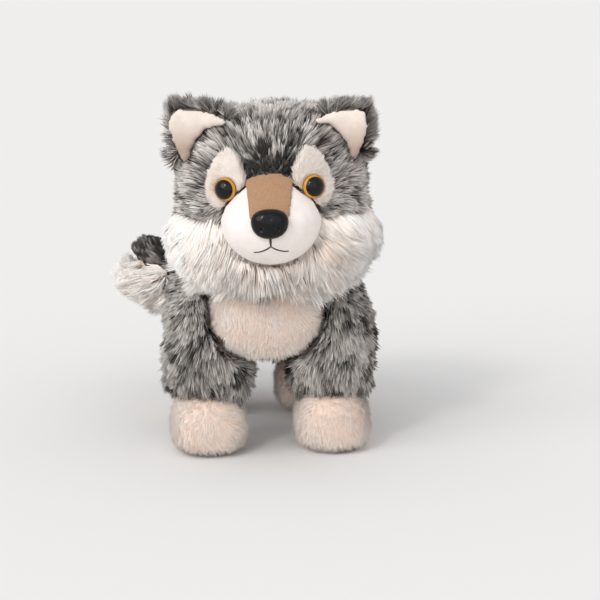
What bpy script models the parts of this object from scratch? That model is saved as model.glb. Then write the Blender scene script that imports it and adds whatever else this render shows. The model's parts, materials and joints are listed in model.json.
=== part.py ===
"""Standing plush wolf cub: stuffed body on four legs, a ruff round the face, plastic eyes and nose.

Metres, +Z up, the wolf faces -Y, and the floor is at Z = 0. The head is turned a little to its right.
Each sewn bag and its stuffing is one solid. The long pile is modelled as tufts on the solids.
"""

import math
import random

import bmesh
import bpy
from mathutils import Matrix, Vector
from mathutils.bvhtree import BVHTree

# Clearances
GAP = 0.0003             # between two pieces that touch
PUFF = 0.0005            # how far a cutter stands off the piece that it is copied from

# Body
TORSO_LENGTH = 0.168
TORSO_WIDTH = 0.112
TORSO_HEIGHT = 0.095
BELLY_HEIGHT = 0.052     # floor to the belly
TORSO_SQUARENESS = 2.4

# Chest panel
CHEST_WIDTH = 0.084
CHEST_HEIGHT = 0.074
CHEST_DEPTH = 0.044
CHEST_BULGE = 0.010      # how far the panel stands in front of the torso
CHEST_BOTTOM = 0.066
CHEST_SQUARENESS = 2.3
CHEST_SHIFT = -0.004     # the panel sits a little to the wolf's right

# Legs
WHEELBASE = 0.111        # front leg to hind leg
FRONT_STANCE = 0.0435    # midline to the middle of a front leg
HIND_STANCE = 0.0388
HIND_SHIFT = 0.0017       # the hind legs stand a little to the wolf's left
LEG_WIDTH = 0.063
LEG_DEPTH = 0.062
HEM_HEIGHT = 0.032       # floor to the lower edge of the leg's pile
SHOULDER_RISE = 0.0315   # front leg's top above the torso's middle
HIP_RISE = 0.0215
LEG_LEAN = 0.008         # how far a leg leans in at its top
LEG_SQUARENESS = 2.9
HIND_DEPTH_EXTRA = 0.010  # the thigh is deeper than the front leg
HEM_MARGIN = 0.004       # bare edge under the leg's lowest tufts
LEG_TUFTED = 0.7         # share of the leg's height that carries tufts

# Paws
PAW_WIDTH = 0.058
PAW_LENGTH = 0.066
PAW_HEIGHT = 0.048
PAW_FORWARD = 0.004      # the paw's middle in front of the leg's
PAW_SQUARENESS = 2.5
SOLE_DEPTH = 0.012       # how much of the ball is pressed flat on the floor

# Head
HEAD_TURN = -6.5         # degrees about Z, to the wolf's right
HEAD_ROLL = -2.0         # degrees about Y, its left side up
HEAD_WIDTH = 0.132
HEAD_DEPTH = 0.106
HEAD_HEIGHT = 0.106
HEAD_REACH = 0.067       # head's middle in front of the torso's
HEAD_LIFT = 0.0935       # head's middle above the torso's
HEAD_SQUARENESS = 2.5

# Ruff
RUFF_WIDTH = 0.148
RUFF_DEPTH = 0.104
RUFF_HEIGHT = 0.074
RUFF_DROP = 0.037        # ruff's middle below the head's
RUFF_FORWARD = 0.002
RUFF_SQUARENESS = 2.2

# Muzzle
MUZZLE_WIDTH = 0.070
MUZZLE_DOWN = 0.0325     # from the widest level to the chin
MUZZLE_UP = 0.0350       # from the widest level to the brow
MUZZLE_FRONT = 0.043
MUZZLE_FORWARD = 0.038   # muzzle's middle in front of the head's
MUZZLE_DROP = 0.019      # muzzle's widest level below the head's middle
MUZZLE_SLOPE = 0.55      # share of its front that the muzzle loses at the brow
MUZZLE_PINCH = 0.20      # share of its width that it loses there

# Brown panel from the brow to the nose
BRIDGE_THICKNESS = 0.0016
BRIDGE_TOP_WIDTH = 0.0315
BRIDGE_LOW_WIDTH = 0.025
BRIDGE_RISE = 0.0255     # panel's corner above the muzzle's widest level
BRIDGE_CROWN = 0.0065    # how far its top edge is arched
BRIDGE_FALL = 0.004      # panel's lower end above the muzzle's widest level

# Nose
NOSE_WIDTH = 0.0245
NOSE_HEIGHT = 0.0195
NOSE_DEPTH = 0.015
NOSE_RISE = 0.0015       # nose's middle above the muzzle's widest level
NOSE_SEAT = 0.0015       # how far the nose's middle stands in front of the muzzle
NOSTRIL_RADIUS = 0.0016
NOSTRIL_SPACING = 0.0115
NOSTRIL_DROP = 0.0025    # nostrils below the nose's middle
NOSE_SQUARENESS = 2.3
NOSE_FLARE = 0.10        # share of its width that the nose gains at its top

# Mouth
THREAD_RADIUS = 0.0007
MOUTH_DROP = 0.0060      # from the nose's lower edge to the fork
MOUTH_WIDTH = 0.0225
MOUTH_CURL = 0.0045      # how far the ends lie below the fork
MOUTH_STEPS = 5          # points along half of the mouth
STEM_RADIUS = 0.00077
STEM_OVERLAP = 0.001     # how far the stem runs on under the nose
STEM_STEPS = 4

# Eyes and their patches
EYE_RADIUS = 0.0078
EYE_DOME = 0.0052
EYE_FLANGE = 0.0014
EYE_SPACING = 0.0565
EYE_RISE = 0.0015        # above the head's middle
EYE_TURN = 24.0          # degrees outwards
EYE_TILT = 4.0           # degrees upwards
PATCH_THICKNESS = 0.0020
PATCH_WIDTH = 0.0245
PATCH_TOP = 0.0245       # patch's top above the eye
PATCH_LOW = 0.0135       # patch's lower end below the eye
PATCH_LEAN = 0.002       # how far the patch's top leans inwards
PATCH_TAPER = 0.18       # share of its width that it loses at its ends
PATCH_POINTS = 14        # points round its outline

# Shanks and locking washers behind the eyes and the nose
SHANK_RADIUS = 0.0019
SHANK_LENGTH = 0.0125
WASHER_RADIUS = 0.0065
WASHER_THICKNESS = 0.0018
WASHER_SETBACK = 0.0028  # from the shank's end to the washer's far face

# Ears
EAR_WIDTH = 0.050
EAR_HEIGHT = 0.037
EAR_THICKNESS = 0.013
EAR_SPREAD = 0.0405      # midline to the ear's root
EAR_RISE = 0.0275        # ear's root above the head's middle
EAR_FORWARD = 0.029      # ear's root in front of the head's middle
EAR_LEAN = 52.0          # degrees outwards
EAR_UNEVEN = 0.0018      # the right ear is sewn this much above the middle of both, the left below
EAR_BACK = 10.0          # degrees backwards
EAR_FACE = 8.0           # degrees that its face turns outwards
EAR_HOLLOW = 0.0045
EAR_SINK = 0.011         # how deep the ear's root goes into the head
EAR_TAPER = 0.38         # share of its width that it loses at its tip
EAR_TAPER_POWER = 1.2
LINING_MARGIN = 0.0045   # ear's edge to the lining's edge
LINING_THICKNESS = 0.0040

# Tail
TAIL_LENGTH_OUT = 0.077  # how far the tail swings to the wolf's right
TAIL_LENGTH_BACK = 0.048
TAIL_RISE = 0.038
TAIL_ROOT_SHIFT = 0.012  # tail's root beside the midline
TAIL_RADIUS = 0.0250
TAIL_ROOT_DROP = 0.0115  # tail's root below the torso's middle
TAIL_ROOT_SINK = 0.006
TAIL_STRIP_RADIUS = 0.0170
TAIL_STRIP_OFFSET = 0.0100
TAIL_SAG = 0.012         # how far its middle hangs below a straight rise
TAIL_INNER = (0.55, -0.30, 0.78)  # the way from its middle line to the strip
TAIL_BLUNTNESS = 0.55
TAIL_ROOT_GIRTH = 0.72   # share of its radius at the root
TAIL_GIRTH_GAIN = 0.5    # share that it gains on the way to the tip
TAIL_STEP = 0.01         # share of the tail over which its way is read

# Pile
TUFT_LONG = 0.0065
TUFT_BODY = 0.0045
TUFT_EAR = 0.0028
TUFT_FRINGE = 0.0050
TUFT_SLENDERNESS = 0.45  # tallest tuft against the width of its root
TUFT_LEAN = 0.1
TUFT_VARIATION = (0.75, 1.1)
TUFT_ROUNDS = 6          # times that crossed tufts are lowered
FRINGE_TEETH = 9
FRINGE_SHARE = 0.25      # share of the ruff's height below which it is ragged
TUFTED_CHEST = 0.3       # share of the torso's length that the chest and ruff hide
COMB_SPREAD = 12.0       # how fast the pile turns outwards, away from the midline
TORSO_COMB = (0, 1, -0.6)
LEG_COMB = (0, 0, -1)
EAR_COMB = (0, 0, 1)
STRIP_COMB = (-0.7, 0.3, 0.5)
TAIL_COMB = (-0.6, 0.3, -0.6)

# Fineness: steps round and along each kind of piece
BODY_STEPS = (20, 11)
HEAD_STEPS = (20, 12)
RUFF_STEPS = (18, 8)
LIMB_STEPS = (14, 9)
MUZZLE_STEPS = (20, 13)
PANEL_STEPS = (16, 9)
NOSE_STEPS = (16, 9)
NOSTRIL_STEPS = (8, 5)
EAR_STEPS = (14, 9)
LINING_STEPS = (14, 7)
TAIL_STEPS = (10, 8)
TURNED_STEPS = 16
WASHER_STEPS = 12
DOME_STEPS = 4
SEED = 11
ORDER_WAY = Vector((1.0, 1.4142, 1.7321))


def order(place):
    """A number that puts places in the same order in every build."""
    return round(place.dot(ORDER_WAY), 9)


def in_order(shape):
    """Puts the shape's vertices and faces in the same order in every build."""
    shape.verts.sort(key=lambda vertex: order(vertex.co))
    shape.faces.sort(key=lambda face: order(face.calc_center_median()))
    shape.verts.index_update()
    shape.faces.index_update()


def finish(name, colour, roughness, metallic=0.0):
    """A plain Principled material with the piece's colour."""
    material = bpy.data.materials.new(name)
    material.use_nodes = True
    shader = material.node_tree.nodes["Principled BSDF"]
    shader.inputs["Base Color"].default_value = (*colour, 1.0)
    shader.inputs["Roughness"].default_value = roughness
    shader.inputs["Metallic"].default_value = metallic
    material.diffuse_color = (*colour, 1.0)
    return material


def new_collection(name):
    """A collection of the scene."""
    collection = bpy.data.collections.new(name)
    bpy.context.scene.collection.children.link(collection)
    return collection


for old in list(bpy.data.objects):
    bpy.data.objects.remove(old)

WOLF = new_collection("plush_wolf")
CUTTERS = new_collection("cutters")

GREY = (0.22, 0.21, 0.20)
DARK = (0.05, 0.045, 0.045)
PEACH = (0.72, 0.55, 0.45)
WHITE = (0.85, 0.80, 0.76)
CREAM = (0.72, 0.62, 0.54)
BROWN = (0.38, 0.23, 0.14)
BLACK = (0.012, 0.012, 0.014)
AMBER = (0.50, 0.27, 0.04)

SIDES = (("left", 1), ("right", -1))

WHOLE = bpy.data.objects.new("whole", None)
WOLF.objects.link(WHOLE)
TORSO_Z = BELLY_HEIGHT + TORSO_HEIGHT / 2
HEAD = bpy.data.objects.new("head_pose", None)
WOLF.objects.link(HEAD)
HEAD.parent = WHOLE
HEAD.location = (0, -HEAD_REACH, TORSO_Z + HEAD_LIFT)
HEAD.rotation_euler = (0, math.radians(HEAD_ROLL), math.radians(HEAD_TURN))


def add_piece(name, shape, material, parent=WHOLE, place=None):
    """Makes a named piece of a bmesh or a mesh, in its parent's axes."""
    if isinstance(shape, bmesh.types.BMesh):
        in_order(shape)
        bmesh.ops.triangulate(shape, faces=shape.faces)
        in_order(shape)
        mesh = bpy.data.meshes.new(name)
        shape.to_mesh(mesh)
        shape.free()
    else:
        mesh = shape
    mesh.materials.clear()
    mesh.materials.append(material)
    mesh.shade_smooth()
    mesh.set_sharp_from_angle(angle=math.radians(40))
    piece = bpy.data.objects.new(name, mesh)
    WOLF.objects.link(piece)
    piece.parent = parent
    if place is not None:
        piece.matrix_basis = place
    return piece


def add_cutter(name, mesh, like, matrix=None):
    """A hidden object that cuts others, in the place of another object."""
    cutter = bpy.data.objects.new(name, mesh)
    CUTTERS.objects.link(cutter)
    cutter.hide_render = True
    cutter.display_type = "WIRE"
    cutter.parent = like.parent
    cutter.matrix_basis = like.matrix_basis if matrix is None else matrix
    return cutter


def puff(shape, distance):
    """Moves a surface out by an even distance."""
    shape.normal_update()
    moves = [vertex.normal * distance * min(3.0, vertex.calc_shell_factor()) for vertex in shape.verts]
    for vertex, move in zip(shape.verts, moves):
        vertex.co += move


def puffed_copy(piece, distance):
    """A cutter of the piece's own uncut mesh, with its surface moved out."""
    shape = bmesh.new()
    shape.from_mesh(piece.data)
    puff(shape, distance)
    mesh = bpy.data.meshes.new(piece.name + "_cutter")
    shape.to_mesh(mesh)
    shape.free()
    return add_cutter(piece.name + "_cutter", mesh, piece)


def boolean(piece, cutter, operation="DIFFERENCE", solver="EXACT"):
    """Adds a Boolean modifier to the piece."""
    modifier = piece.modifiers.new(cutter.name, "BOOLEAN")
    modifier.operation = operation
    modifier.solver = solver
    modifier.object = cutter


def trim(piece, *neighbours):
    """Cuts the piece back from its neighbours, with the gap that touching pieces keep.

    The neighbours are closed but tufted, where the exact solver can lose the whole piece.
    """
    for neighbour in neighbours:
        boolean(piece, puffed_copy(neighbour, PUFF), solver="MANIFOLD")


def ball(segments, rings):
    """A unit sphere with its poles on Z."""
    shape = bmesh.new()
    bmesh.ops.create_uvsphere(shape, u_segments=segments, v_segments=rings, radius=1.0)
    return shape


def squared(unit, half, power):
    """The point of a squared ellipsoid in the direction of a unit vector."""
    size = sum(abs(part) ** power for part in unit) ** (1 / power)
    return Vector(part / size * reach for part, reach in zip(unit, half))


def lobe(half, centre, power, segments, rings):
    """A squared ellipsoid of the given half sizes."""
    shape = ball(segments, rings)
    for vertex in shape.verts:
        vertex.co = squared(vertex.co.normalized(), half, power) + Vector(centre)
    in_order(shape)
    return shape


def tuft(shape, height, comb, where=None):
    """Raises a tuft from each face: a low peak that leans the way the pile is combed."""
    dice = random.Random(SEED)
    faces = [face for face in shape.faces
             if len(face.verts) == 4 and (where is None or where(face.calc_center_median()))]
    peaks = sorted(bmesh.ops.poke(shape, faces=faces)["verts"], key=lambda vertex: order(vertex.co))
    shape.normal_update()
    roots = {}
    for vertex in peaks:
        width = min(edge.calc_length() for face in vertex.link_faces
                    for edge in face.edges if vertex not in edge.verts)
        roots[vertex] = (vertex.co.copy(), vertex.normal.copy(), width)
    for vertex in peaks:
        root, normal, width = roots[vertex]
        lean = Vector(comb(root) if callable(comb) else comb)
        lean -= normal * lean.dot(normal)
        tall = min(height, width * TUFT_SLENDERNESS)
        vertex.co += (normal * dice.uniform(*TUFT_VARIATION) + lean.normalized() * TUFT_LEAN) * tall
    lower_crossed(shape, {vertex: root for vertex, (root, _, _) in roots.items()})
    return shape


def lower_crossed(shape, peaks):
    """Lowers each tuft that runs through another, halfway to its root at a time."""
    for _ in range(TUFT_ROUNDS):
        shape.faces.ensure_lookup_table()
        shape.faces.index_update()
        tree = BVHTree.FromBMesh(shape)
        crossed = set()
        for one, other in tree.overlap(tree):
            corners = set(shape.faces[one].verts), set(shape.faces[other].verts)
            if not corners[0] & corners[1]:
                crossed |= (corners[0] | corners[1]) & peaks.keys()
        if not crossed:
            return
        for vertex in crossed:
            vertex.co = vertex.co.lerp(peaks[vertex], 0.5)


def fringe(shape, height, where):
    """Pulls every second vertex of an edge down, which leaves it ragged."""
    for vertex in shape.verts:
        if where(vertex.co):
            turn = math.atan2(vertex.co.y, vertex.co.x)
            vertex.co.z -= height * (0.5 + 0.5 * math.cos(turn * FRINGE_TEETH))


def make_torso():
    """Back, sides and belly, as one stuffed bag."""
    half = (TORSO_WIDTH / 2, TORSO_LENGTH / 2, TORSO_HEIGHT / 2)
    shape = lobe(half, (0, 0, TORSO_Z), TORSO_SQUARENESS, *BODY_STEPS)
    tuft(shape, TUFT_BODY, TORSO_COMB, lambda point: point.y > -TORSO_LENGTH * TUFTED_CHEST)
    return add_piece("torso", shape, finish("torso_pile", GREY, 0.95))


def make_chest(torso):
    """Domed panel of short pile between the front legs."""
    half = (CHEST_WIDTH / 2, CHEST_DEPTH / 2, CHEST_HEIGHT / 2)
    front = -TORSO_LENGTH / 2 - CHEST_BULGE
    centre = (CHEST_SHIFT, front + CHEST_DEPTH / 2, CHEST_BOTTOM + CHEST_HEIGHT / 2)
    shape = lobe(half, centre, CHEST_SQUARENESS, *PANEL_STEPS)
    panel = add_piece("chest_panel", shape, finish("chest_pile", PEACH, 0.9))
    trim(panel, torso)
    return panel


def make_paw(name, side, stance, along):
    """Short-pile paw with a flat sole."""
    half = Vector((PAW_WIDTH / 2, PAW_LENGTH / 2, (PAW_HEIGHT + SOLE_DEPTH) / 2))
    centre = Vector((side * stance, along - PAW_FORWARD, PAW_HEIGHT - half.z))
    shape = lobe(half, centre, PAW_SQUARENESS, *LIMB_STEPS)
    for vertex in shape.verts:
        vertex.co.z = max(vertex.co.z, 0.0)
    paw = add_piece(name, shape, finish(name + "_pile", PEACH, 0.9))
    return paw


def make_leg(name, side, stance, along, rise, depth, inner):
    """Long-pile leg from the shoulder or hip to its ragged hem over the paw."""
    top = TORSO_Z + rise
    half = Vector((LEG_WIDTH / 2, depth / 2, (top - HEM_HEIGHT) / 2))
    centre = Vector((side * stance, along, (top + HEM_HEIGHT) / 2))
    shape = lobe(half, centre, LEG_SQUARENESS, *LIMB_STEPS)
    low, high = HEM_HEIGHT + HEM_MARGIN, HEM_HEIGHT + (top - HEM_HEIGHT) * LEG_TUFTED
    tuft(shape, TUFT_BODY, LEG_COMB, lambda point: low < point.z < high)
    for vertex in shape.verts:
        rise_share = (vertex.co.z - HEM_HEIGHT) / (top - HEM_HEIGHT)
        vertex.co.x -= side * LEG_LEAN * rise_share
    leg = add_piece(name, shape, finish(name + "_pile", GREY, 0.95))
    trim(leg, *inner)
    return leg


def make_head():
    """Head bag without the muzzle, in the head's own axes."""
    half = (HEAD_WIDTH / 2, HEAD_DEPTH / 2, HEAD_HEIGHT / 2)
    shape = lobe(half, (0, 0, 0), HEAD_SQUARENESS, *HEAD_STEPS)

    def covered(point):
        face_half = EYE_SPACING / 2 + PATCH_WIDTH / 2
        low, high = -MUZZLE_DROP - MUZZLE_DOWN, EYE_RISE + PATCH_TOP
        return point.y < 0 and abs(point.x) < face_half and low < point.z < high

    def comb(point):
        return (point.x * COMB_SPREAD, 0.5, 0.3)

    tuft(shape, TUFT_BODY, comb, lambda point: not covered(point))
    return add_piece("head", shape, finish("head_pile", GREY, 0.95), HEAD)


def make_ruff(inner):
    """Long white pile that hangs from the cheeks and the chin."""
    half = (RUFF_WIDTH / 2, RUFF_DEPTH / 2, RUFF_HEIGHT / 2)
    shape = lobe(half, (0, -RUFF_FORWARD, -RUFF_DROP), RUFF_SQUARENESS, *RUFF_STEPS)

    def comb(point):
        return (point.x * COMB_SPREAD, 0, -1)

    fringe(shape, TUFT_FRINGE, lambda point: point.z < -RUFF_DROP - RUFF_HEIGHT * FRINGE_SHARE)
    tuft(shape, TUFT_LONG, comb, lambda point: point.y < RUFF_DEPTH * 0.35)
    ruff = add_piece("ruff", shape, finish("ruff_pile", WHITE, 0.95), HEAD)
    trim(ruff, *inner)
    return ruff


MUZZLE_CENTRE = Vector((0, -MUZZLE_FORWARD, -MUZZLE_DROP))


def muzzle_point(unit):
    """The muzzle's surface in the direction of a unit vector: round below, sloped back to the brow."""
    up = max(0.0, unit.z)
    across = unit.x * MUZZLE_WIDTH / 2 * (1 - MUZZLE_PINCH * up)
    forward = unit.y * MUZZLE_FRONT * (1 - MUZZLE_SLOPE * up)
    height = unit.z * (MUZZLE_UP if unit.z > 0 else MUZZLE_DOWN)
    return MUZZLE_CENTRE + Vector((across, forward, height))


def make_muzzle(head):
    """Short-pile stuffed muzzle, sewn on the front of the head."""
    shape = ball(*MUZZLE_STEPS)
    for vertex in shape.verts:
        unit = vertex.co.normalized()
        vertex.co = muzzle_point(Vector((unit.x, -unit.z, unit.y)))
    muzzle = add_piece("muzzle", shape, finish("muzzle_pile", WHITE, 0.85), HEAD)
    trim(muzzle, head)
    return muzzle


PRISM_REACH = (-HEAD_DEPTH * 1.2, -HEAD_DEPTH * 0.15)


def prism(name, outline, near, far):
    """A cutter that runs along Y with the given outline of (x, z) points."""
    shape = bmesh.new()
    corners = [shape.verts.new((x, near, z)) for x, z in outline]
    side = shape.faces.new(corners)
    moved = bmesh.ops.extrude_face_region(shape, geom=[side])
    ends = [item for item in moved["geom"] if isinstance(item, bmesh.types.BMVert)]
    bmesh.ops.translate(shape, verts=ends, vec=(0, far - near, 0))
    bmesh.ops.recalc_face_normals(shape, faces=shape.faces)
    mesh = bpy.data.meshes.new(name)
    shape.to_mesh(mesh)
    shape.free()
    holder = bpy.data.objects.new(name + "_place", None)
    holder.parent = HEAD
    cutter = add_cutter(name, mesh, holder, Matrix.Identity(4))
    bpy.data.objects.remove(holder)
    return cutter


def bridge_outline(grow):
    """Outline of the brown panel: narrow at the nose, arched at the brow."""
    top, low = BRIDGE_TOP_WIDTH / 2 + grow, BRIDGE_LOW_WIDTH / 2 + grow
    floor = MUZZLE_CENTRE.z + BRIDGE_FALL - grow
    corner = MUZZLE_CENTRE.z + BRIDGE_RISE + grow
    arch = [0.6, 0.2, -0.2, -0.6]
    outline = [(-low, floor), (low, floor), (top, corner)]
    outline += [(top * t, corner + BRIDGE_CROWN * (1 - t * t)) for t in arch]
    return outline + [(-top, corner)]


def make_bridge(head, muzzle):
    """Brown short-pile panel that lies on the muzzle from the brow to the nose."""
    shape = bmesh.new()
    shape.from_mesh(muzzle.data)
    puff(shape, BRIDGE_THICKNESS + PUFF)
    panel = add_piece("nose_bridge", shape, finish("bridge_pile", BROWN, 0.85), HEAD)
    boolean(panel, prism("bridge_outline", bridge_outline(0), *PRISM_REACH), "INTERSECT")
    trim(panel, muzzle, head)
    return panel


def patch_outline(side):
    """Teardrop round the eye: wide at the eye and above it, narrow at its lower end."""
    points = []
    for step in range(PATCH_POINTS):
        turn = 2 * math.pi * step / PATCH_POINTS
        up = math.sin(turn)
        reach = PATCH_TOP if up > 0 else PATCH_LOW
        width = PATCH_WIDTH / 2 * math.cos(turn) * (1 - PATCH_TAPER * abs(up))
        across = EYE_SPACING / 2 + width - PATCH_LEAN * up
        points.append((side * across, EYE_RISE + reach * up))
    return points


def make_patch(name, side, head, muzzle):
    """Cream pile patch on the face round one eye."""
    shape = bmesh.new()
    shape.from_mesh(head.data)
    puff(shape, PATCH_THICKNESS + PUFF)
    patch = add_piece(name, shape, finish(name + "_pile", CREAM, 0.9), HEAD)
    boolean(patch, prism(name + "_outline", patch_outline(side), *PRISM_REACH), "INTERSECT")
    boolean(patch, prism(name + "_room", bridge_outline(GAP), *PRISM_REACH))
    trim(patch, head, muzzle)
    return patch


def turned(name, profile, steps, material, place, cutter=False, ring=False):
    """A solid turned about its own Z from (radius, height) points that run down its outer side."""
    mesh = bpy.data.meshes.new(name)
    edges = [(i, i + 1) for i in range(len(profile) - 1)]
    if ring:
        edges.append((len(profile) - 1, 0))
    mesh.from_pydata([(r, 0, z) for r, z in profile], edges, [])
    if cutter:
        piece = bpy.data.objects.new(name, mesh)
        CUTTERS.objects.link(piece)
        piece.hide_render = True
        piece.display_type = "WIRE"
    else:
        mesh.materials.append(material)
        piece = bpy.data.objects.new(name, mesh)
        WOLF.objects.link(piece)
    piece.parent = HEAD
    piece.matrix_basis = place
    screw = piece.modifiers.new("turn", "SCREW")
    screw.axis = "Z"
    screw.steps = steps
    screw.render_steps = steps
    screw.use_merge_vertices = True
    screw.merge_threshold = 0.0001
    screw.use_smooth_shade = True
    return piece


def head_front(x, z):
    """The Y of the head's front at a place across and up, in the head's axes."""
    spread = abs(2 * x / HEAD_WIDTH) ** HEAD_SQUARENESS + abs(2 * z / HEAD_HEIGHT) ** HEAD_SQUARENESS
    return -HEAD_DEPTH / 2 * (1 - spread) ** (1 / HEAD_SQUARENESS)


def facing(place, turn, tilt):
    """A matrix that puts local +Z on the way an eye or the nose looks."""
    look = Matrix.Rotation(math.radians(turn), 4, "Z") @ Matrix.Rotation(math.radians(90 - tilt), 4, "X")
    return Matrix.Translation(place) @ look


def washer_profile(top):
    """Outline of a locking washer round its shank, from its upper face down."""
    hole = SHANK_RADIUS + GAP
    low = top - WASHER_THICKNESS
    return [(hole, top), (WASHER_RADIUS, top), (WASHER_RADIUS, low), (hole, low)]


def pocket_profile(start, shank_end, washer_top):
    """Outline of the room that a shank and its washer take inside the stuffing."""
    shank = SHANK_RADIUS + GAP
    washer = WASHER_RADIUS + GAP
    low = washer_top - WASHER_THICKNESS - GAP
    end = shank_end - GAP
    return [(0, start), (shank, start), (shank, washer_top + GAP), (washer, washer_top + GAP),
            (washer, low), (shank, low), (shank, end), (0, end)]


def make_eye(side_name, side, head, patch):
    """Moulded eye with its shank, and the washer that locks it inside the head."""
    x, z = side * EYE_SPACING / 2, EYE_RISE
    turn = Matrix.Rotation(math.radians(side * EYE_TURN), 3, "Z")
    out = turn @ Vector((0, -1, 0))
    seat = Vector((x, head_front(x, z), z)) + out * (PATCH_THICKNESS + EYE_FLANGE / 2)
    place = facing(seat, side * EYE_TURN, EYE_TILT)
    dome = [(EYE_RADIUS * math.sin(a), EYE_DOME * math.cos(a)) for a in
            [math.pi / 2 * i / DOME_STEPS for i in range(DOME_STEPS + 1)]]
    shank_end = -EYE_FLANGE - SHANK_LENGTH
    profile = dome + [(EYE_RADIUS, -EYE_FLANGE), (SHANK_RADIUS, -EYE_FLANGE),
                      (SHANK_RADIUS, shank_end), (0, shank_end)]
    amber = finish("eye_plastic_" + side_name, AMBER, 0.1)
    eye = turned("eye_" + side_name, profile, TURNED_STEPS, amber, place)
    washer_top = shank_end + WASHER_SETBACK + WASHER_THICKNESS
    turned("eye_washer_" + side_name, washer_profile(washer_top), WASHER_STEPS,
           finish("washer_plastic_" + side_name, WHITE, 0.5), place, ring=True)
    pocket = turned("eye_pocket_" + side_name, pocket_profile(EYE_DOME, shank_end, washer_top), WASHER_STEPS,
                    None, place, cutter=True)
    rim = EYE_RADIUS + GAP
    over, under = EYE_DOME * 2, -EYE_FLANGE - GAP
    room = [(0, over), (rim, over), (rim, under), (0, under)]
    seat_cut = turned("eye_seat_" + side_name, room, TURNED_STEPS, None, place, cutter=True)
    boolean(head, pocket)
    boolean(patch, seat_cut)
    boolean(patch, pocket)
    return eye


def nose_front(x, z):
    """The Y of the nose's front at a place across and up from its middle."""
    spread = abs(2 * x / NOSE_WIDTH) ** NOSE_SQUARENESS + abs(2 * z / NOSE_HEIGHT) ** NOSE_SQUARENESS
    return -NOSE_DEPTH / 2 * (1 - spread) ** (1 / NOSE_SQUARENESS)


def make_nose(muzzle, bridge):
    """Glossy moulded nose with two nostrils, its shank, and the washer inside the muzzle."""
    front = muzzle_point(Vector((0, -1, 0)))
    centre = front + Vector((0, -NOSE_SEAT, NOSE_RISE))
    half = Vector((NOSE_WIDTH / 2, NOSE_DEPTH / 2, NOSE_HEIGHT / 2))
    shape = ball(*NOSE_STEPS)
    for vertex in shape.verts:
        unit = vertex.co.normalized()
        unit = Vector((unit.x, -unit.z, unit.y))
        vertex.co = squared(unit, half, NOSE_SQUARENESS)
        vertex.co.x *= 1 + NOSE_FLARE * unit.z
    nose = add_piece("nose", shape, finish("nose_plastic", BLACK, 0.12), HEAD, Matrix.Translation(centre))
    seat_cut = puffed_copy(nose, PUFF)
    place = facing(centre, 0, 0)
    shank_end = -NOSE_DEPTH / 2 - SHANK_LENGTH
    shank = turned("nose_shank", [(0, 0), (SHANK_RADIUS, 0), (SHANK_RADIUS, shank_end), (0, shank_end)],
                   WASHER_STEPS, None, place, cutter=True)
    boolean(nose, shank, "UNION")
    for side in (-1, 1):
        across = side * NOSTRIL_SPACING / 2
        spot = centre + Vector((across, nose_front(across, -NOSTRIL_DROP), -NOSTRIL_DROP))
        dimple = lobe((NOSTRIL_RADIUS,) * 3, (0, 0, 0), 2, *NOSTRIL_STEPS)
        mesh = bpy.data.meshes.new("nostril")
        dimple.to_mesh(mesh)
        dimple.free()
        boolean(nose, add_cutter("nostril", mesh, muzzle, Matrix.Translation(spot)))
    washer_top = shank_end + WASHER_SETBACK + WASHER_THICKNESS
    turned("nose_washer", washer_profile(washer_top), WASHER_STEPS,
           finish("nose_washer_plastic", WHITE, 0.5), place, ring=True)
    pocket = turned("nose_pocket", pocket_profile(0, shank_end, washer_top), WASHER_STEPS, None,
                    place, cutter=True)
    boolean(muzzle, seat_cut)
    boolean(muzzle, pocket)
    boolean(bridge, seat_cut, solver="MANIFOLD")
    return nose


def muzzle_front(x, z):
    """The point of the muzzle's front at a place across and up, in the head's axes."""
    height = z - MUZZLE_CENTRE.z
    up = height / (MUZZLE_UP if height > 0 else MUZZLE_DOWN)
    across = x / (MUZZLE_WIDTH / 2 * (1 - MUZZLE_PINCH * max(0.0, up)))
    return muzzle_point(Vector((across, -math.sqrt(1 - up * up - across * across), up)))


def make_mouth(muzzle, nose):
    """Black embroidered thread: a short line under the nose that forks into two curved ends."""
    fork_z = MUZZLE_CENTRE.z + NOSE_RISE - NOSE_HEIGHT / 2 - MOUTH_DROP
    curve = bpy.data.curves.new("thread", "CURVE")
    curve.dimensions = "3D"
    curve.bevel_depth = THREAD_RADIUS
    curve.bevel_resolution = 0
    curve.use_fill_caps = True
    points = []
    for step in range(-MOUTH_STEPS, MOUTH_STEPS + 1):
        share = step / MOUTH_STEPS
        z = fork_z - MOUTH_CURL * (1 - (1 - abs(share)) ** 2)
        points.append(muzzle_front(MOUTH_WIDTH / 2 * share, z) + Vector((0, -THREAD_RADIUS / 2, 0)))
    spline = curve.splines.new("POLY")
    spline.points.add(len(points) - 1)
    for place, point in zip(spline.points, points):
        place.co = (*point, 1)
    holder = bpy.data.objects.new("thread", curve)
    WOLF.objects.link(holder)
    branches = welded_mesh(holder)
    stitch = add_piece("mouth_stitch", branches, finish("thread", BLACK, 0.7), HEAD)

    stem = bpy.data.curves.new("stem", "CURVE")
    stem.dimensions = "3D"
    stem.bevel_depth = STEM_RADIUS
    stem.bevel_resolution = 0
    stem.use_fill_caps = True
    line = stem.splines.new("POLY")
    line.points.add(STEM_STEPS)
    for index, place in enumerate(line.points):
        z = fork_z + (MOUTH_DROP + STEM_OVERLAP) * index / STEM_STEPS
        place.co = (*(muzzle_front(0, z) + Vector((0, -THREAD_RADIUS / 2, 0))), 1)
    holder = bpy.data.objects.new("stem", stem)
    WOLF.objects.link(holder)
    boolean(stitch, add_cutter("mouth_stem", welded_mesh(holder), stitch), "UNION")
    trim(stitch, muzzle, nose)
    return stitch


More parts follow.
